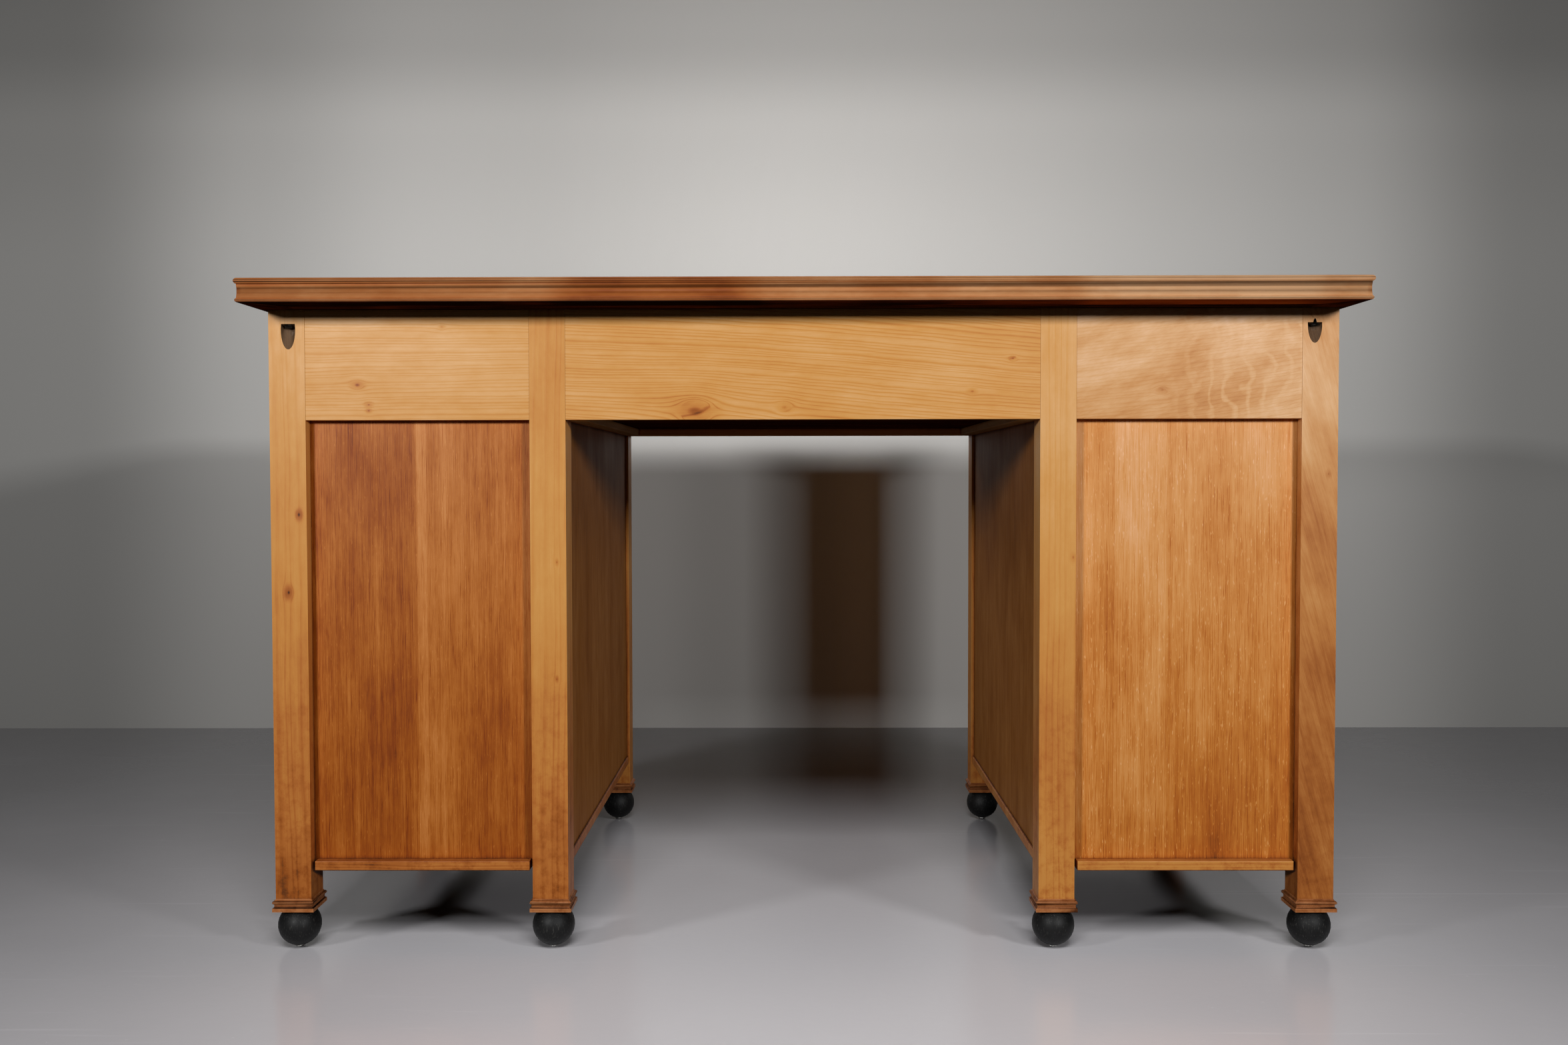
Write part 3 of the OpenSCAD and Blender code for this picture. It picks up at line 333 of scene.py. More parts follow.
def timber(name, along, shades, seed, ring=0.0042, lines=0.11, drift=0.016, lean=0.0,
           fibre=0.16, mottle=0.22, depth=0.30, painted_falloff=None, knots=(), leaves=(), pores=0.0,
           flecks=0.0, bands=0.0, curl=None, soil=0.0, slant=0.0, rough=(0.34, 0.46),
           wear=0.07, grime_and_shade=0.50, reach=0.005, patches=()):
    """Varnished wood, as one number for how dark the wood is at a point, turned to a shade.

    along is the grain's axis, and shades run from pale to dark, at depth on average.
    ring is the spacing of the growth lines, lines their strength, drift and lean their wander.
    fibre, mottle, pores, flecks, bands and soil are strengths, each told of where it is added.
    fade holds a low and a high height and how much darker the wood is at the low one, as
    painted shade.
    A knot is an x, a z, a size and a strength; a leaf is an x and the change beyond it.
    A patch is an axis, where it starts and ends, the change within and its edge's softness.
    curl holds an x up to which the figure is full, an x where it ends, and its strength.
    slant turns the fibres and clouds about Y. wear pales the arrises, and grime darkens
    corners whose other side is within reach, as old polish and painted shade.
    """
    made, tree = blank(name)
    here = add(tree, "TexCoord").outputs["Object"]
    xyz = add(tree, "SeparateXYZ", {0: here}).outputs
    run = "XYZ".index(along)
    offset = (seed * 1.7 % 7, seed * 2.3 % 5, seed * 3.1 % 11)

    def stretched(across, length):
        """The scale of a pattern that is longer along the grain than across it."""
        scale = [across] * 3
        scale[run] = length
        return scale

    # Growth lines: planes that drift slowly along the board and wave by a millimetre or two.
    slow = add(tree, "Mapping", {"Vector": here, "Location": offset, "Scale": stretched(7.0, 1.3)})
    drifts = add(tree, "TexNoise", {"Vector": slow, "Scale": 1.0, "Detail": 1.0})
    quick = add(tree, "Mapping",
                {"Vector": here, "Location": offset, "Scale": stretched(70.0, 14.0)})
    waves = add(tree, "TexNoise", {"Vector": quick, "Scale": 1.0, "Detail": 2.0})
    facing = {"X": (lean, 0.45, 1.0), "Y": (0.55, lean, 0.55), "Z": (1.0, 0.45, lean)}[along]
    cross = add(tree, "VectorMath", {0: here, 1: facing}, operation="DOT_PRODUCT")
    cross = cross.outputs["Value"]
    cross = add(tree, "Math", {0: drifts, 1: drift * 2, 2: cross}, operation="MULTIPLY_ADD")
    cross = add(tree, "Math", {0: waves, 1: 0.0034, 2: cross}, operation="MULTIPLY_ADD")
    # A knot is longer along the grain than across it.
    spots = []
    squeeze = (0.75, 0.0, 1.15) if along == "X" else (1.15, 0.0, 0.75)
    for knot_x, knot_z, size, force in knots:
        # The lines part round a knot as water parts round a post.
        apart = add(tree, "VectorMath", {0: here, 1: (knot_x, 0.0, knot_z)},
                    operation="SUBTRACT")
        apart = add(tree, "VectorMath", {0: apart, 1: squeeze}, operation="MULTIPLY")
        away = add(tree, "VectorMath", {0: apart}, operation="LENGTH").outputs["Value"]
        bend = size * 2.0
        held = add(tree, "Math", {0: away, 1: bend}, operation="MAXIMUM")
        pull = add(tree, "Math", {0: bend, 1: held}, operation="DIVIDE")
        pull = add(tree, "Math", {0: pull, 1: 2.0}, operation="POWER")
        sideways = add(tree, "SeparateXYZ", {0: apart}).outputs[2 if along == "X" else 0]
        pull = add(tree, "Math", {0: pull, 1: sideways}, operation="MULTIPLY")
        cross = add(tree, "Math", {0: cross, 1: pull}, operation="SUBTRACT")
        # Its heart has an uneven edge, and the wood darkens gently towards it.
        uneven = add(tree, "Math", {0: waves, 1: size * 1.6, 2: away}, operation="MULTIPLY_ADD")
        heart = add(tree, "MapRange",
                    {"Value": uneven, 1: size * 0.8, 2: size * 1.9, 3: force * 0.6, 4: 0.0},
                    interpolation_type="SMOOTHSTEP")
        halo = add(tree, "MapRange",
                   {"Value": away, 1: 0.0, 2: size * 4.5, 3: force * 0.5, 4: 0.0},
                   interpolation_type="SMOOTHERSTEP")
        spots += [heart, halo]
    rings = add(tree, "Math", {0: cross, 1: 1.0 / ring}, operation="MULTIPLY")
    uneven = add(tree, "TexNoise", {"W": rings, "Scale": 0.33, "Detail": 1.0},
                 noise_dimensions="1D")
    rings = add(tree, "Math", {0: uneven, 1: 2.2, 2: rings}, operation="MULTIPLY_ADD")
    share = add(tree, "Math", {0: rings}, operation="FRACT")
    late = add(tree, "ValToRGB", {"Fac": share}, blend="EASE",
               stops=((0.0, 0.25), (0.14, 0.0), (0.60, 0.15), (0.86, 1.0), (1.0, 0.25)))

    # Fibres, about 1 mm wide, and clouds of deeper varnish, about 80 mm wide.
    laid = here
    if slant:
        laid = add(tree, "Mapping", {"Vector": here, "Rotation": (0.0, slant, 0.0)})
    fine = add(tree, "Mapping",
               {"Vector": laid, "Location": offset, "Scale": stretched(1100.0, 22.0)})
    threads = add(tree, "TexNoise",
                  {"Vector": fine, "Scale": 1.0, "Detail": 3.0, "Roughness": 0.65})
    broad = add(tree, "Mapping",
                {"Vector": laid, "Location": offset, "Scale": stretched(17.0, 6.5)})
    clouds = add(tree, "TexNoise",
                 {"Vector": broad, "Scale": 1.0, "Detail": 5.0, "Roughness": 0.66})
    amount = add(tree, "Math", {0: late, 1: lines, 2: depth - lines * 0.35},
                 operation="MULTIPLY_ADD")
    amount = add(tree, "Math", {0: threads, 1: fibre, 2: amount}, operation="MULTIPLY_ADD")
    amount = add(tree, "Math", {0: clouds, 1: mottle * 2, 2: amount}, operation="MULTIPLY_ADD")
    amount = add(tree, "Math", {0: amount, 1: fibre * 0.5 + mottle}, operation="SUBTRACT")
    for spot in spots:
        amount = add(tree, "Math", {0: amount, 1: spot}, operation="ADD")

    if painted_falloff:
        # Painted shade: the wood is drawn deeper in colour towards the floor, where the light
        # falls off.
        low, high, more = painted_falloff
        painted_shade_low_down = add(tree, "MapRange", {"Value": xyz[2], 1: low, 2: high, 3: more, 4: 0.0})
        amount = add(tree, "Math", {0: amount, 1: painted_shade_low_down}, operation="ADD")
    for axis, start, end, change, soft in patches:
        # A stretch of the piece that is paler or deeper than the rest.
        for edge, operation in ((start, "ADD"), (end, "SUBTRACT")):
            beyond = add(tree, "MapRange",
                         {"Value": xyz["XYZ".index(axis)], 1: edge - soft, 2: edge + soft,
                          3: 0.0, 4: change}, interpolation_type="SMOOTHSTEP")
            amount = add(tree, "Math", {0: amount, 1: beyond}, operation=operation)
    if pores:
        # Open pores, drawn about 0.6 mm wide and 25 mm long so that they show.
        tight = add(tree, "Mapping",
                    {"Vector": laid, "Location": offset, "Scale": stretched(1500.0, 38.0)})
        holes = add(tree, "TexNoise",
                    {"Vector": tight, "Scale": 1.0, "Detail": 2.0, "Roughness": 0.5})
        holes = add(tree, "MapRange", {"Value": holes, 1: 0.56, 2: 0.70, 3: 0.0, 4: pores})
        amount = add(tree, "Math", {0: amount, 1: holes}, operation="ADD")
    if bands:
        # Soft stripes about 6 mm wide, where the saw ran along the growth.
        sawn = add(tree, "Mapping",
                   {"Vector": laid, "Location": offset, "Scale": stretched(165.0, 2.5)})
        stripes = add(tree, "TexNoise",
                      {"Vector": sawn, "Scale": 1.0, "Detail": 3.0, "Roughness": 0.6})
        amount = add(tree, "Math", {0: stripes, 1: bands * 2, 2: amount},
                     operation="MULTIPLY_ADD")
        amount = add(tree, "Math", {0: amount, 1: bands}, operation="SUBTRACT")
    if soil:
        # Knocks and floor dirt: small brown blotches, thickest near the floor.
        strewn = add(tree, "Mapping", {"Vector": here, "Location": offset})
        blots = add(tree, "TexNoise",
                    {"Vector": strewn, "Scale": 75.0, "Detail": 5.0, "Roughness": 0.7})
        blots = add(tree, "MapRange", {"Value": blots, 1: 0.46, 2: 0.74, 3: 0.0, 4: soil})
        low_down = add(tree, "MapRange", {"Value": xyz[2], 1: 0.05, 2: 0.36, 3: 1.0, 4: 0.12})
        amount = add(tree, "Math", {0: blots, 1: low_down, 2: amount},
                     operation="MULTIPLY_ADD")
    if curl:
        # Curly figure: pale wavering lines across the grain, about 13 mm apart.
        full, end, strength = curl
        ripple = add(tree, "TexWave",
                     {"Vector": here, "Scale": 15.0, "Distortion": 9.0, "Detail": 3.0,
                      "Detail Scale": 1.6}, bands_direction="X")
        pale = add(tree, "MapRange", {"Value": ripple, 1: 0.68, 2: 1.0, 3: 0.0, 4: strength})
        within = add(tree, "MapRange", {"Value": xyz[0], 1: full, 2: end, 3: 1.0, 4: 0.0},
                     interpolation_type="SMOOTHSTEP")
        broken = add(tree, "MapRange", {"Value": clouds, 1: 0.42, 2: 0.56, 3: 0.25, 4: 1.6})
        pale = add(tree, "Math", {0: pale, 1: within}, operation="MULTIPLY")
        pale = add(tree, "Math", {0: pale, 1: broken}, operation="MULTIPLY")
        amount = add(tree, "Math", {0: amount, 1: pale}, operation="SUBTRACT")
    if flecks:
        # Rays, drawn as pale flecks about 1 mm by 6 mm.
        ray = add(tree, "Mapping",
                  {"Vector": here, "Location": offset[::-1], "Scale": stretched(620.0, 130.0)})
        rays = add(tree, "TexNoise", {"Vector": ray, "Scale": 1.0, "Detail": 1.0})
        pale = add(tree, "MapRange", {"Value": rays, 1: 0.66, 2: 0.76, 3: 0.0, 4: flecks})
        amount = add(tree, "Math", {0: amount, 1: pale}, operation="SUBTRACT")
    for start, change in leaves:
        # Where one leaf of veneer ends and the next begins, the shade steps.
        step = add(tree, "Math", {0: xyz[0], 1: start}, operation="GREATER_THAN")
        amount = add(tree, "Math", {0: step, 1: change, 2: amount}, operation="MULTIPLY_ADD")

    # Rubbed arrises are paler. Corners darken with their ambient occlusion: old polish that a
    # cloth can't reach, and painted shade.
    rounded = add(tree, "Bevel", {"Radius": 0.0016}, samples=4)
    flat = add(tree, "NewGeometry").outputs["True Normal"]
    turned = add(tree, "VectorMath", {0: rounded, 1: flat}, operation="DOT_PRODUCT")
    rubbed = add(tree, "MapRange",
                 {"Value": turned.outputs["Value"], 1: 0.985, 2: 0.80, 3: 0.0, 4: wear})
    amount = add(tree, "Math", {0: amount, 1: rubbed}, operation="SUBTRACT")
    shut = add(tree, "AmbientOcclusion", {"Distance": reach}, samples=6)
    old_polish_and_shade = add(tree, "MapRange",
                  {"Value": shut.outputs["AO"], 1: 0.90, 2: 0.35, 3: 0.0, 4: grime_and_shade})
    amount = add(tree, "Math", {0: amount, 1: old_polish_and_shade}, operation="ADD")
    tint = add(tree, "ValToRGB", {"Fac": amount}, stops=shades)

    # Varnish is duller where it is cloudy or in those dark corners. Undersides never had any, so
    # they take no sheen.
    gloss = add(tree, "MapRange", {"Value": clouds, 1: 0.3, 2: 0.7, 3: rough[0], 4: rough[1]})
    gloss = add(tree, "Math", {0: gloss, 1: old_polish_and_shade}, operation="ADD", use_clamp=True)
    relief = add(tree, "Math", {0: late, 1: 0.35, 2: threads}, operation="MULTIPLY_ADD")
    surface = add(tree, "Bump", {"Height": relief, "Strength": 0.22, "Distance": 0.0004})
    facing_up = add(tree, "SeparateXYZ", {0: flat}).outputs[2]
    sheen = add(tree, "MapRange", {"Value": facing_up, 1: -0.95, 2: -0.70, 3: 0.0, 4: 0.16})
    skin = add(tree, "BsdfPrincipled",
               {"Base Color": tint, "Roughness": gloss, "Specular IOR Level": sheen,
                "Normal": surface})
    add(tree, "OutputMaterial", {"Surface": skin})
    return made


BLOND = ((0.0, "E6B987"), (0.15, "DBA669"), (0.30, "D2964E"), (0.45, "C9863F"),
         (0.60, "B46A2E"), (0.75, "97501B"), (0.88, "653616"), (1.0, "301B10"))
RUDDY = ((0.0, "E7BC93"), (0.20, "D7A46E"), (0.35, "CB9054"), (0.50, "BB7A3E"),
         (0.65, "A5612A"), (0.80, "89491B"), (0.92, "4F2B12"), (1.0, "301D12"))
POST = dict(shades=BLOND, ring=0.010, lines=0.08, drift=0.026, fibre=0.14, mottle=0.26,
            bands=0.07, soil=0.20)
posts = {
    "post_outer_right_back": dict(
        seed=1, depth=0.29, painted_falloff=(0.10, 0.68, 0.37),
        knots=((0.588, 0.515, 0.0022, 0.45), (0.601, 0.424, 0.0026, 0.55))),
    "post_inner_right_back": dict(
        seed=2, depth=0.36, painted_falloff=(0.14, 0.42, 0.26),
        knots=((0.287, 0.459, 0.0012, 0.35), (0.288, 0.322, 0.0012, 0.35))),
    "post_inner_left_back": dict(
        seed=3, depth=0.22, painted_falloff=(0.20, 0.64, 0.28), knots=((-0.315, 0.464, 0.0018, 0.25),)),
    "post_outer_left_back": dict(
        shades=RUDDY, seed=4, depth=0.29, painted_falloff=(0.40, 0.68, 0.30), lines=0.05, lean=-0.20,
        mottle=0.42, fibre=0.22, slant=-0.30, soil=0.12,
        knots=((-0.6105, 0.5605, 0.0016, 0.3),)),
    "post_outer_right_front": dict(seed=5, painted_falloff=(0.10, 0.68, 0.30)),
    # The inner front posts, seen in the kneehole, are drawn deeper: painted shade.
    "post_inner_right_front": dict(seed=6, depth=0.38, painted_falloff=(0.10, 0.68, 0.12)),
    "post_inner_left_front": dict(seed=7, depth=0.38, painted_falloff=(0.10, 0.68, 0.12)),
    "post_outer_left_front": dict(seed=8, painted_falloff=(0.10, 0.68, 0.30)),
}
for name, look in posts.items():
    coat(eased(name), timber("blond_wood_" + name, "Z", **{**POST, **look}))

# The two gouged pockets show end grain, which has drunk more varnish.
END_GRAIN = ((0.0, "8C6E4E"), (0.50, "604834"), (1.0, "1C140E"))
POCKET_X, POCKET_HALF_WIDTH, POCKET_HEIGHTS, POST_BACK = 0.600, 0.0195, (0.690, 0.7525), 0.3215
gouged = timber("gouged_wood", "Z", END_GRAIN, 10, depth=0.50, ring=0.0024, fibre=0.30,
                rough=(0.5, 0.65), wear=0.0)
for name in ("post_outer_right_back", "post_outer_left_back"):
    post = nodes[name]
    post.data.materials.append(gouged)
    for face in post.data.polygons:
        x, y, z = face.center
        inside = abs(abs(x) - POCKET_X) < POCKET_HALF_WIDTH and y < POST_BACK
        if inside and POCKET_HEIGHTS[0] < z < POCKET_HEIGHTS[1]:
            face.material_index = 1


# Post collars
# Four lengths of small moulding, mitred round the foot of each post and glued on, in the same
# wood with a redder polish and dark lines in its hollows, of old polish and painted shade.
def smoothed(name, angle=38.0):
    """Stands for a node with curved faces: its triangles joined and its curves made smooth."""
    bpy.ops.object.select_all(action="DESELECT")
    source = nodes[name]
    source.select_set(True)
    bpy.context.view_layer.objects.active = source
    bpy.ops.object.duplicate()
    piece = bpy.context.active_object
    piece.name = name + "_polished"
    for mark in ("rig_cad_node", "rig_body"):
        del piece[mark]
    body = source["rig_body"]
    bpy.ops.object.mode_set(mode="EDIT")
    bpy.ops.mesh.select_all(action="SELECT")
    bpy.ops.mesh.remove_doubles(threshold=MERGE)
    bpy.ops.mesh.dissolve_limited(angle_limit=math.radians(0.5))
    bpy.ops.object.mode_set(mode="OBJECT")
    bpy.ops.object.shade_smooth_by_angle(angle=math.radians(angle))
    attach(piece, body)
    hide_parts(name)
    groups["desk_only"].objects.link(piece)
    return piece


REDDER = ((0.0, "D9A06C"), (0.30, "C08050"), (0.55, "9C5C30"), (0.75, "7A4220"),
          (0.90, "4A2610"), (1.0, "1E1008"))
coat(smoothed("post_collars"),
     timber("polished_collar", "X", REDDER, 9, depth=0.46, mottle=0.34, grime_and_shade=0.9,
            reach=0.008, soil=0.30))


# Ball feet and glides
# Turned beech balls, stained black and waxed to a soft gloss, with pale scuffs where shoes
# and brooms meet them. Each stands on a small steel glide.
ebonised, tree = blank("ebonised_beech")
here = add(tree, "TexCoord").outputs["Object"]
worn = add(tree, "TexNoise", {"Vector": here, "Scale": 42.0, "Detail": 5.0, "Roughness": 0.7})
brushed = add(tree, "Mapping",
              {"Vector": here, "Scale": (900.0, 900.0, 160.0), "Rotation": (0.5, 0.9, 0.3)})
scuff = add(tree, "TexNoise", {"Vector": brushed, "Scale": 1.0, "Detail": 2.0})
rubs = add(tree, "MapRange", {"Value": scuff, 1: 0.60, 2: 0.78, 3: 0.0, 4: 0.6})
rubs = add(tree, "Math", {0: rubs, 1: worn}, operation="MULTIPLY")
tint = add(tree, "ValToRGB", {"Fac": rubs}, stops=((0.0, "070707"), (0.5, "5C5A56")))
gloss = add(tree, "MapRange", {"Value": worn, 1: 0.3, 2: 0.7, 3: 0.46, 4: 0.62})
dents = add(tree, "Bump", {"Height": worn, "Strength": 0.12, "Distance": 0.001})
skin = add(tree, "BsdfPrincipled",
           {"Base Color": tint, "Roughness": gloss, "Specular IOR Level": 0.3,
            "Normal": dents})
add(tree, "OutputMaterial", {"Surface": skin})
coat(smoothed("ball_feet", 60.0), ebonised)


def metal(name, clean, tarnished, rough):
    """A small metal fitting: fine brushing, and tarnish in soft clouds."""
    made, tree = blank(name)
    here = add(tree, "TexCoord").outputs["Object"]
    drawn = add(tree, "Mapping", {"Vector": here, "Scale": (300.0, 300.0, 2600.0)})
    brushed = add(tree, "TexNoise", {"Vector": drawn, "Scale": 1.0, "Detail": 3.0})
    clouds = add(tree, "TexNoise",
                 {"Vector": here, "Scale": 120.0, "Detail": 4.0, "Roughness": 0.7})
    tint = add(tree, "ValToRGB", {"Fac": clouds}, stops=((0.35, clean), (0.75, tarnished)))
    gloss = add(tree, "MapRange",
                {"Value": brushed, 1: 0.2, 2: 0.8, 3: rough - 0.08, 4: rough + 0.10})
    marks = add(tree, "Bump", {"Height": brushed, "Strength": 0.15, "Distance": 0.0002})
    skin = add(tree, "BsdfPrincipled",
               {"Base Color": tint, "Metallic": 1.0, "Roughness": gloss, "Normal": marks})
    add(tree, "OutputMaterial", {"Surface": skin})
    return made


coat(smoothed("foot_glides"), metal("dull_steel", "9A9A98", "6E6A64", 0.42))


# Friezes
# Flat boards of the same blond wood under the top, three across the back and one at each
# end, with knots and long soft growth lines. Their faces lie flush with the posts.
TENON_X = 0.5795
friezes = {
    "back_frieze_right": dict(
        seed=11, depth=0.25, lean=0.02, lines=0.17, bands=0.05,
        knots=((0.518, 0.666, 0.0026, 0.50), (0.505, 0.643, 0.0016, 0.50),
               (0.505, 0.636, 0.0012, 0.35), (0.419, 0.733, 0.0014, 0.35))),
    "back_frieze_centre": dict(
        seed=12, depth=0.31, lean=-0.06, lines=0.21, drift=0.024, fibre=0.24, bands=0.06,
        knots=((0.1245, 0.635, 0.0070, 0.36), (0.021, 0.639, 0.0030, 0.25),
               (-0.197, 0.657, 0.0018, 0.3), (-0.244, 0.695, 0.0016, 0.3))),
    # Its paler stretch is a painted sheen.
    "back_frieze_left": dict(
        shades=RUDDY, seed=13, depth=0.30, lean=0.12, mottle=0.60, slant=-0.35, lines=0.07,
        curl=(-0.50, -0.40, 0.10), patches=(("X", -0.43, -0.20, -0.07, 0.04),),
        knots=((-0.417, 0.658, 0.0022, 0.3),)),
}
for name, look in friezes.items():
    look = {"shades": BLOND, "mottle": 0.28, **look}
    coat(eased(name), timber("blond_wood_" + name, "X", **look))
    # The gouge that cut the pockets also cut the ends of the outer tenons.
    nodes[name].data.materials.append(gouged)
    for face in nodes[name].data.polygons:
        if abs(face.center.x) > TENON_X:
            face.material_index = 1
coat(eased("end_friezes"), timber("blond_wood_end_frieze", "Y", BLOND, 14, depth=0.28))
coat(eased("kneehole_friezes"),
     timber("blond_wood_kneehole_frieze", "Y", BLOND, 15, depth=0.40))


# Panels
# Thin panels faced with quartered oak veneer, upright, in leaves of slightly different
# shade. The veneer is drawn redder and deeper low down, as painted shade.
OAK_RED = ((0.0, "D6965A"), (0.20, "C67D3E"), (0.34, "B36827"), (0.46, "9E5214"),
           (0.58, "853B0A"), (0.75, "612B08"), (0.90, "3C1D0A"), (1.0, "27140A"))
OAK_PALE = ((0.0, "E9B282"), (0.25, "D99856"), (0.38, "CD853F"), (0.46, "C0742C"),
            (0.58, "AB5B1C"), (0.75, "864213"), (0.90, "4B2710"), (1.0, "27140A"))
# The kneehole's veneer is a darker copy of the oak, as painted shade.
OAK_IN_PAINTED_SHADE = ((0.0, "CC9458"), (0.30, "AA7030"), (0.50, "8F5414"), (0.70, "72400C"),
             (0.85, "4E2A0A"), (1.0, "1E1006"))
PANEL_EASE = 0.0003
VENEER = dict(ring=0.0024, lines=0.05, drift=0.006, fibre=0.30, pores=0.16, bands=0.14,
              mottle=0.28, grime_and_shade=0.2)
panels = {
    "back_panel_right": ("oak_veneer_right", OAK_RED, dict(
        seed=21, fibre=0.32, bands=0.16, mottle=0.32, flecks=0.12, depth=0.29,
        painted_falloff=(0.10, 0.62, 0.15), leaves=((0.4547, 0.05),),
        patches=(("X", 0.4427, 0.4547, -0.10, 0.002),))),
    "back_panel_left": ("oak_veneer_left", OAK_PALE, dict(
        seed=22, fibre=0.32, pores=0.15, bands=0.16, mottle=0.30, flecks=0.20, depth=0.25,
        painted_falloff=(0.10, 0.62, 0.26),
        leaves=((-0.5029, 0.04), (-0.4268, -0.12), (-0.3667, 0.07)))),
    "end_panels": ("oak_veneer_ends", OAK_RED, dict(
        seed=23, depth=0.30, painted_falloff=(0.10, 0.62, 0.22))),
    # The kneehole panels are darker still towards their top: a painted shadow of the frieze.
    "kneehole_panels": ("oak_veneer_kneehole", OAK_IN_PAINTED_SHADE, dict(
        seed=24, fibre=0.28, pores=0.14, bands=0.16, depth=0.44, rough=(0.50, 0.62),
        grime_and_shade=0.50, patches=(("Z", 0.45, 0.80, 0.12, 0.08),))),
}
for name, (material, shades, look) in panels.items():
    coat(eased(name, PANEL_EASE), timber(material, "Z", shades, **{**VENEER, **look}))


# Boards, rails and runners
# The carcase's bottom boards, the board over the kneehole, the front rails and the drawers'
# runners: planed blond wood, varnished where it shows and bare inside.
BARE = ((0.0, "E4CFA8"), (0.30, "D4B788"), (0.55, "BE9A68"), (0.75, "97734A"),
        (0.90, "5E4630"), (1.0, "2C2118"))

# The bottom boards' undersides are drawn dark, as painted shade, and the right one is darker than
# the left.
boards = {
    "bottom_boards": ("blond_wood_bottom_board", "X", BLOND, dict(
        seed=31, depth=0.50, soil=0.22,
        patches=(("Z", 0.05, 0.0962, 0.5, 0.0004), ("X", 0.2, 0.9, 0.12, 0.01)))),
    # The board over the kneehole is drawn nearly black: painted shade.
    "kneehole_ceiling": ("blond_wood_kneehole_board", "X", REDDER, dict(seed=32, depth=0.88)),
    "front_top_rails": ("blond_wood_top_rail", "X", BLOND, dict(seed=33, depth=0.36)),
    "drawer_rails": ("blond_wood_drawer_rail", "X", BLOND, dict(seed=34, depth=0.36)),
    "cupboard_shelves": ("bare_wood_shelf", "X", BARE, dict(seed=39, rough=(0.5, 0.65))),
}
for i, name in enumerate(("drawer_runners", "drawer_kickers", "drawer_stops", "shelf_battens")):
    look = dict(seed=35 + i, rough=(0.55, 0.7), wear=0.1)
    boards[name] = ("bare_wood_" + name, "Y", BARE, look)
for name, (material, along, shades, look) in boards.items():
    coat(eased(name), timber(material, along, shades, **look))


# Top
# A veneered panel held in four mitred lengths of moulded edging: a bead above, a hollow flat
# and a lip below, in a redder wood than the desk, worn paler in stretches along its edge, and
# some paler stretches are a painted sheen.
EDGING = ((0.0, "DAAA7E"), (0.15, "C99060"), (0.30, "B57545"), (0.45, "A6602F"),
          (0.60, "904A20"), (0.78, "643218"), (0.90, "3E2010"), (1.0, "1E1008"))

# Patches: the undersides, drawn dark as painted shade, and the worn and stained stretches of
# the back edge, whose paler ones are also a painted sheen.
EDGING_UNDERSIDE_SHADE = ("Z", 0.70, 0.7536, 0.60, 0.0004)
PANEL_UNDERSIDE_SHADE = ("Z", 0.70, 0.7700, 0.60, 0.0004)
STRETCHES_WORN_AND_SHEEN = (
    ("X", -0.70, -0.57, -0.10, 0.02), ("X", -0.57, -0.31, -0.22, 0.02),
    ("X", -0.31, -0.16, -0.06, 0.02), ("X", -0.16, 0.06, 0.04, 0.03),
    ("X", 0.06, 0.26, 0.28, 0.03), ("X", 0.26, 0.70, 0.10, 0.03),
)
for i, (name, along, worn) in enumerate((
    ("top_edging_back", "X", STRETCHES_WORN_AND_SHEEN), ("top_edging_front", "X", ()),
    ("top_edging_left", "Y", ()), ("top_edging_right", "Y", ()),
)):
    coat(smoothed(name, 25.0),
         timber("moulded_" + name, along, EDGING, 41 + i, ring=0.009, lines=0.02,
                drift=0.006, depth=0.28, mottle=0.36, rough=(0.42, 0.54), grime_and_shade=0.7,
                reach=0.004, patches=(EDGING_UNDERSIDE_SHADE, *worn)))
coat(eased("top_panel", 0.0002),
     timber("veneered_top", "X", EDGING, 45, ring=0.007, drift=0.05, depth=0.36, mottle=0.26,
            lines=0.14, rough=(0.28, 0.40), wear=0.0, patches=(PANEL_UNDERSIDE_SHADE,)))


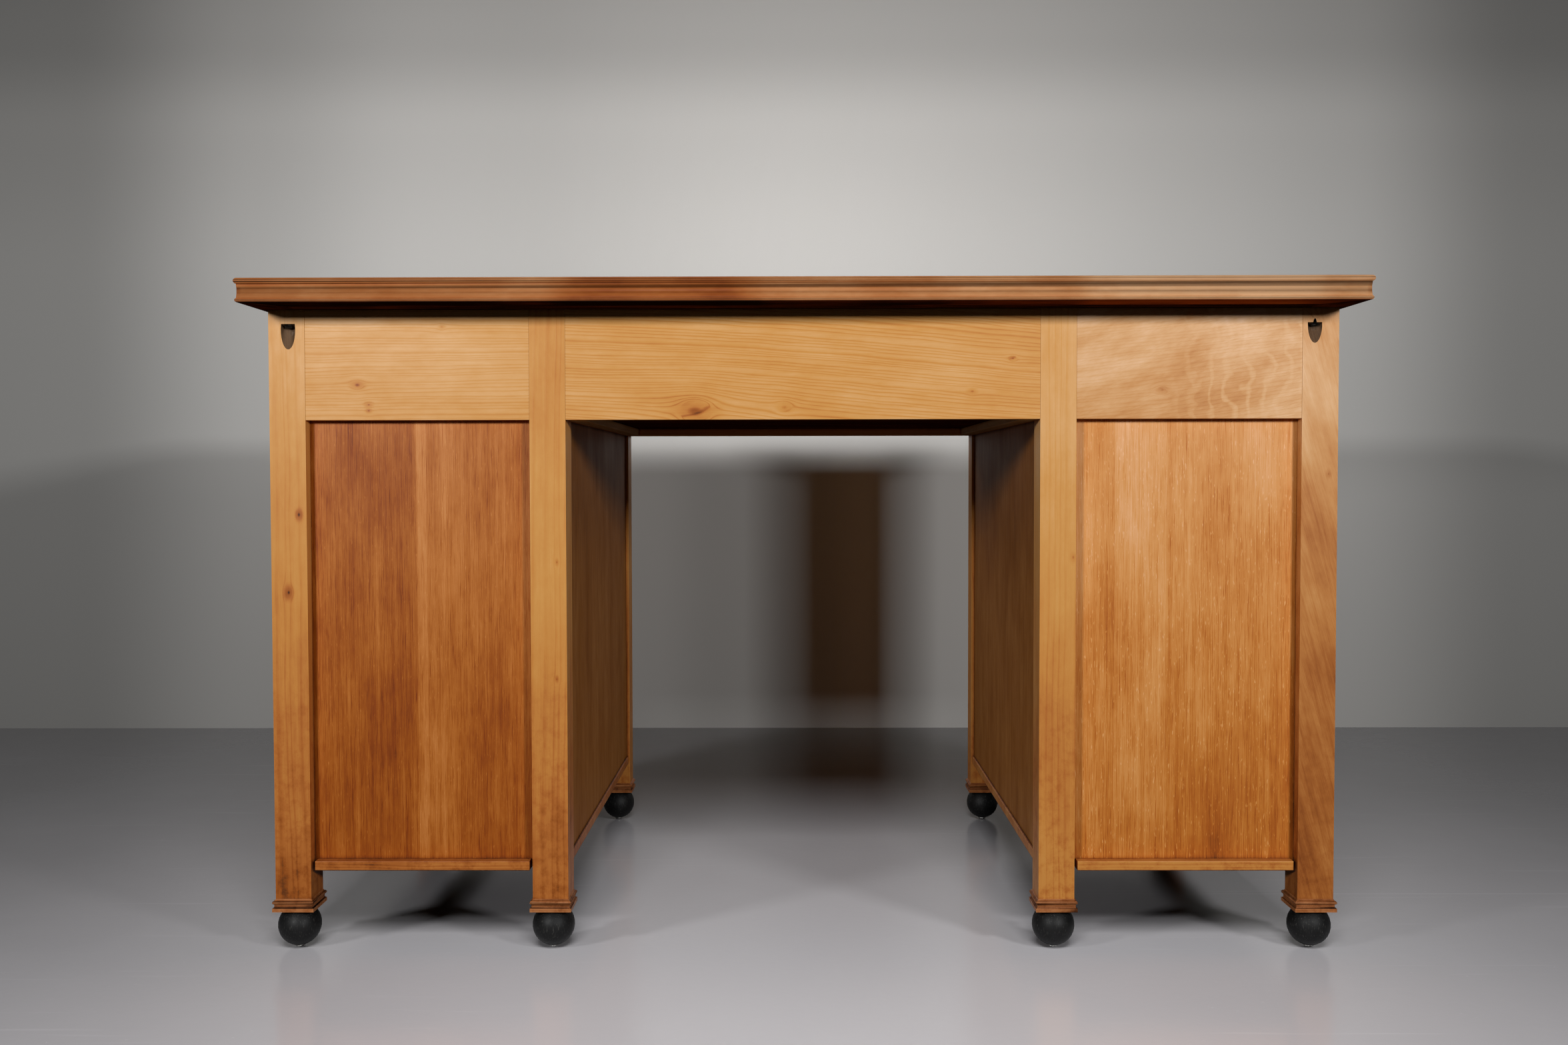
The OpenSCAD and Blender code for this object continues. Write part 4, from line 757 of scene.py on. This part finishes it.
# Drawers
# Three drawers in the frieze: a front of blond wood, sides and back dovetailed to it in bare
# pale wood, and a thin bottom in a groove.
for i, side in enumerate(("left", "centre", "right")):
    drawer = "drawer_" + side
    coat(eased(drawer + "_front"),
         timber("blond_wood_drawer_front_" + side, "X", BLOND, 51 + i, depth=0.28,
                lean=0.03 * i))
    coat(eased(drawer + "_box", 0.0003),
         timber("bare_wood_" + drawer, "Y", BARE, 54 + i, depth=0.26, rough=(0.5, 0.65),
                wear=0.08))
    coat(eased(drawer + "_bottom", 0.0002),
         timber("bare_wood_drawer_bottom_" + side, "X", BARE, 57 + i, depth=0.22,
                rough=(0.5, 0.65), wear=0.0))
for name in ("drawer_left_knob", "drawer_centre_knobs", "drawer_right_knob"):
    coat(smoothed(name), ebonised)


# Doors
# A framed and panelled door to each cupboard, hung on two brass butt hinges, with a turn
# latch behind an ebonised knob.
brass = metal("aged_brass", "C8A868", "8A6C3C", 0.34)
for i, side in enumerate(("left", "right")):
    door = "door_" + side
    coat(eased(door + "_frame"),
         timber("blond_wood_" + door, "Z", BLOND, 61 + i, depth=0.28,
                painted_falloff=(0.05, 0.66, 0.20)))
    coat(eased(door + "_panel", PANEL_EASE),
         timber("oak_veneer_" + door, "Z", OAK_RED, 63 + i, depth=0.28,
                painted_falloff=(0.10, 0.62, 0.20), **VENEER))
    coat(smoothed(door + "_knob"), ebonised)
    coat(smoothed(door + "_latch"), brass)
    coat(smoothed(door + "_hinge_leaves"), brass)
coat(smoothed("post_hinge_leaves"), brass)
coat(smoothed("hinge_pins"), brass)


# Screws
# Blackened iron screws hold the top to the rails and, in two gouged pockets, to the back
# posts, where their heads are filed flush with the wood.
FLUSH_Y = 0.3208
screws = smoothed("top_screws")
bpy.context.view_layer.objects.active = screws
bpy.ops.object.mode_set(mode="EDIT")
bpy.ops.mesh.select_all(action="SELECT")
bpy.ops.mesh.bisect(
    plane_co=(0.0, FLUSH_Y, 0.0), plane_no=(0.0, 1.0, 0.0), use_fill=True, clear_outer=True
)
bpy.ops.object.mode_set(mode="OBJECT")
coat(screws, metal("blackened_iron", "2E2A26", "1A1613", 0.55))
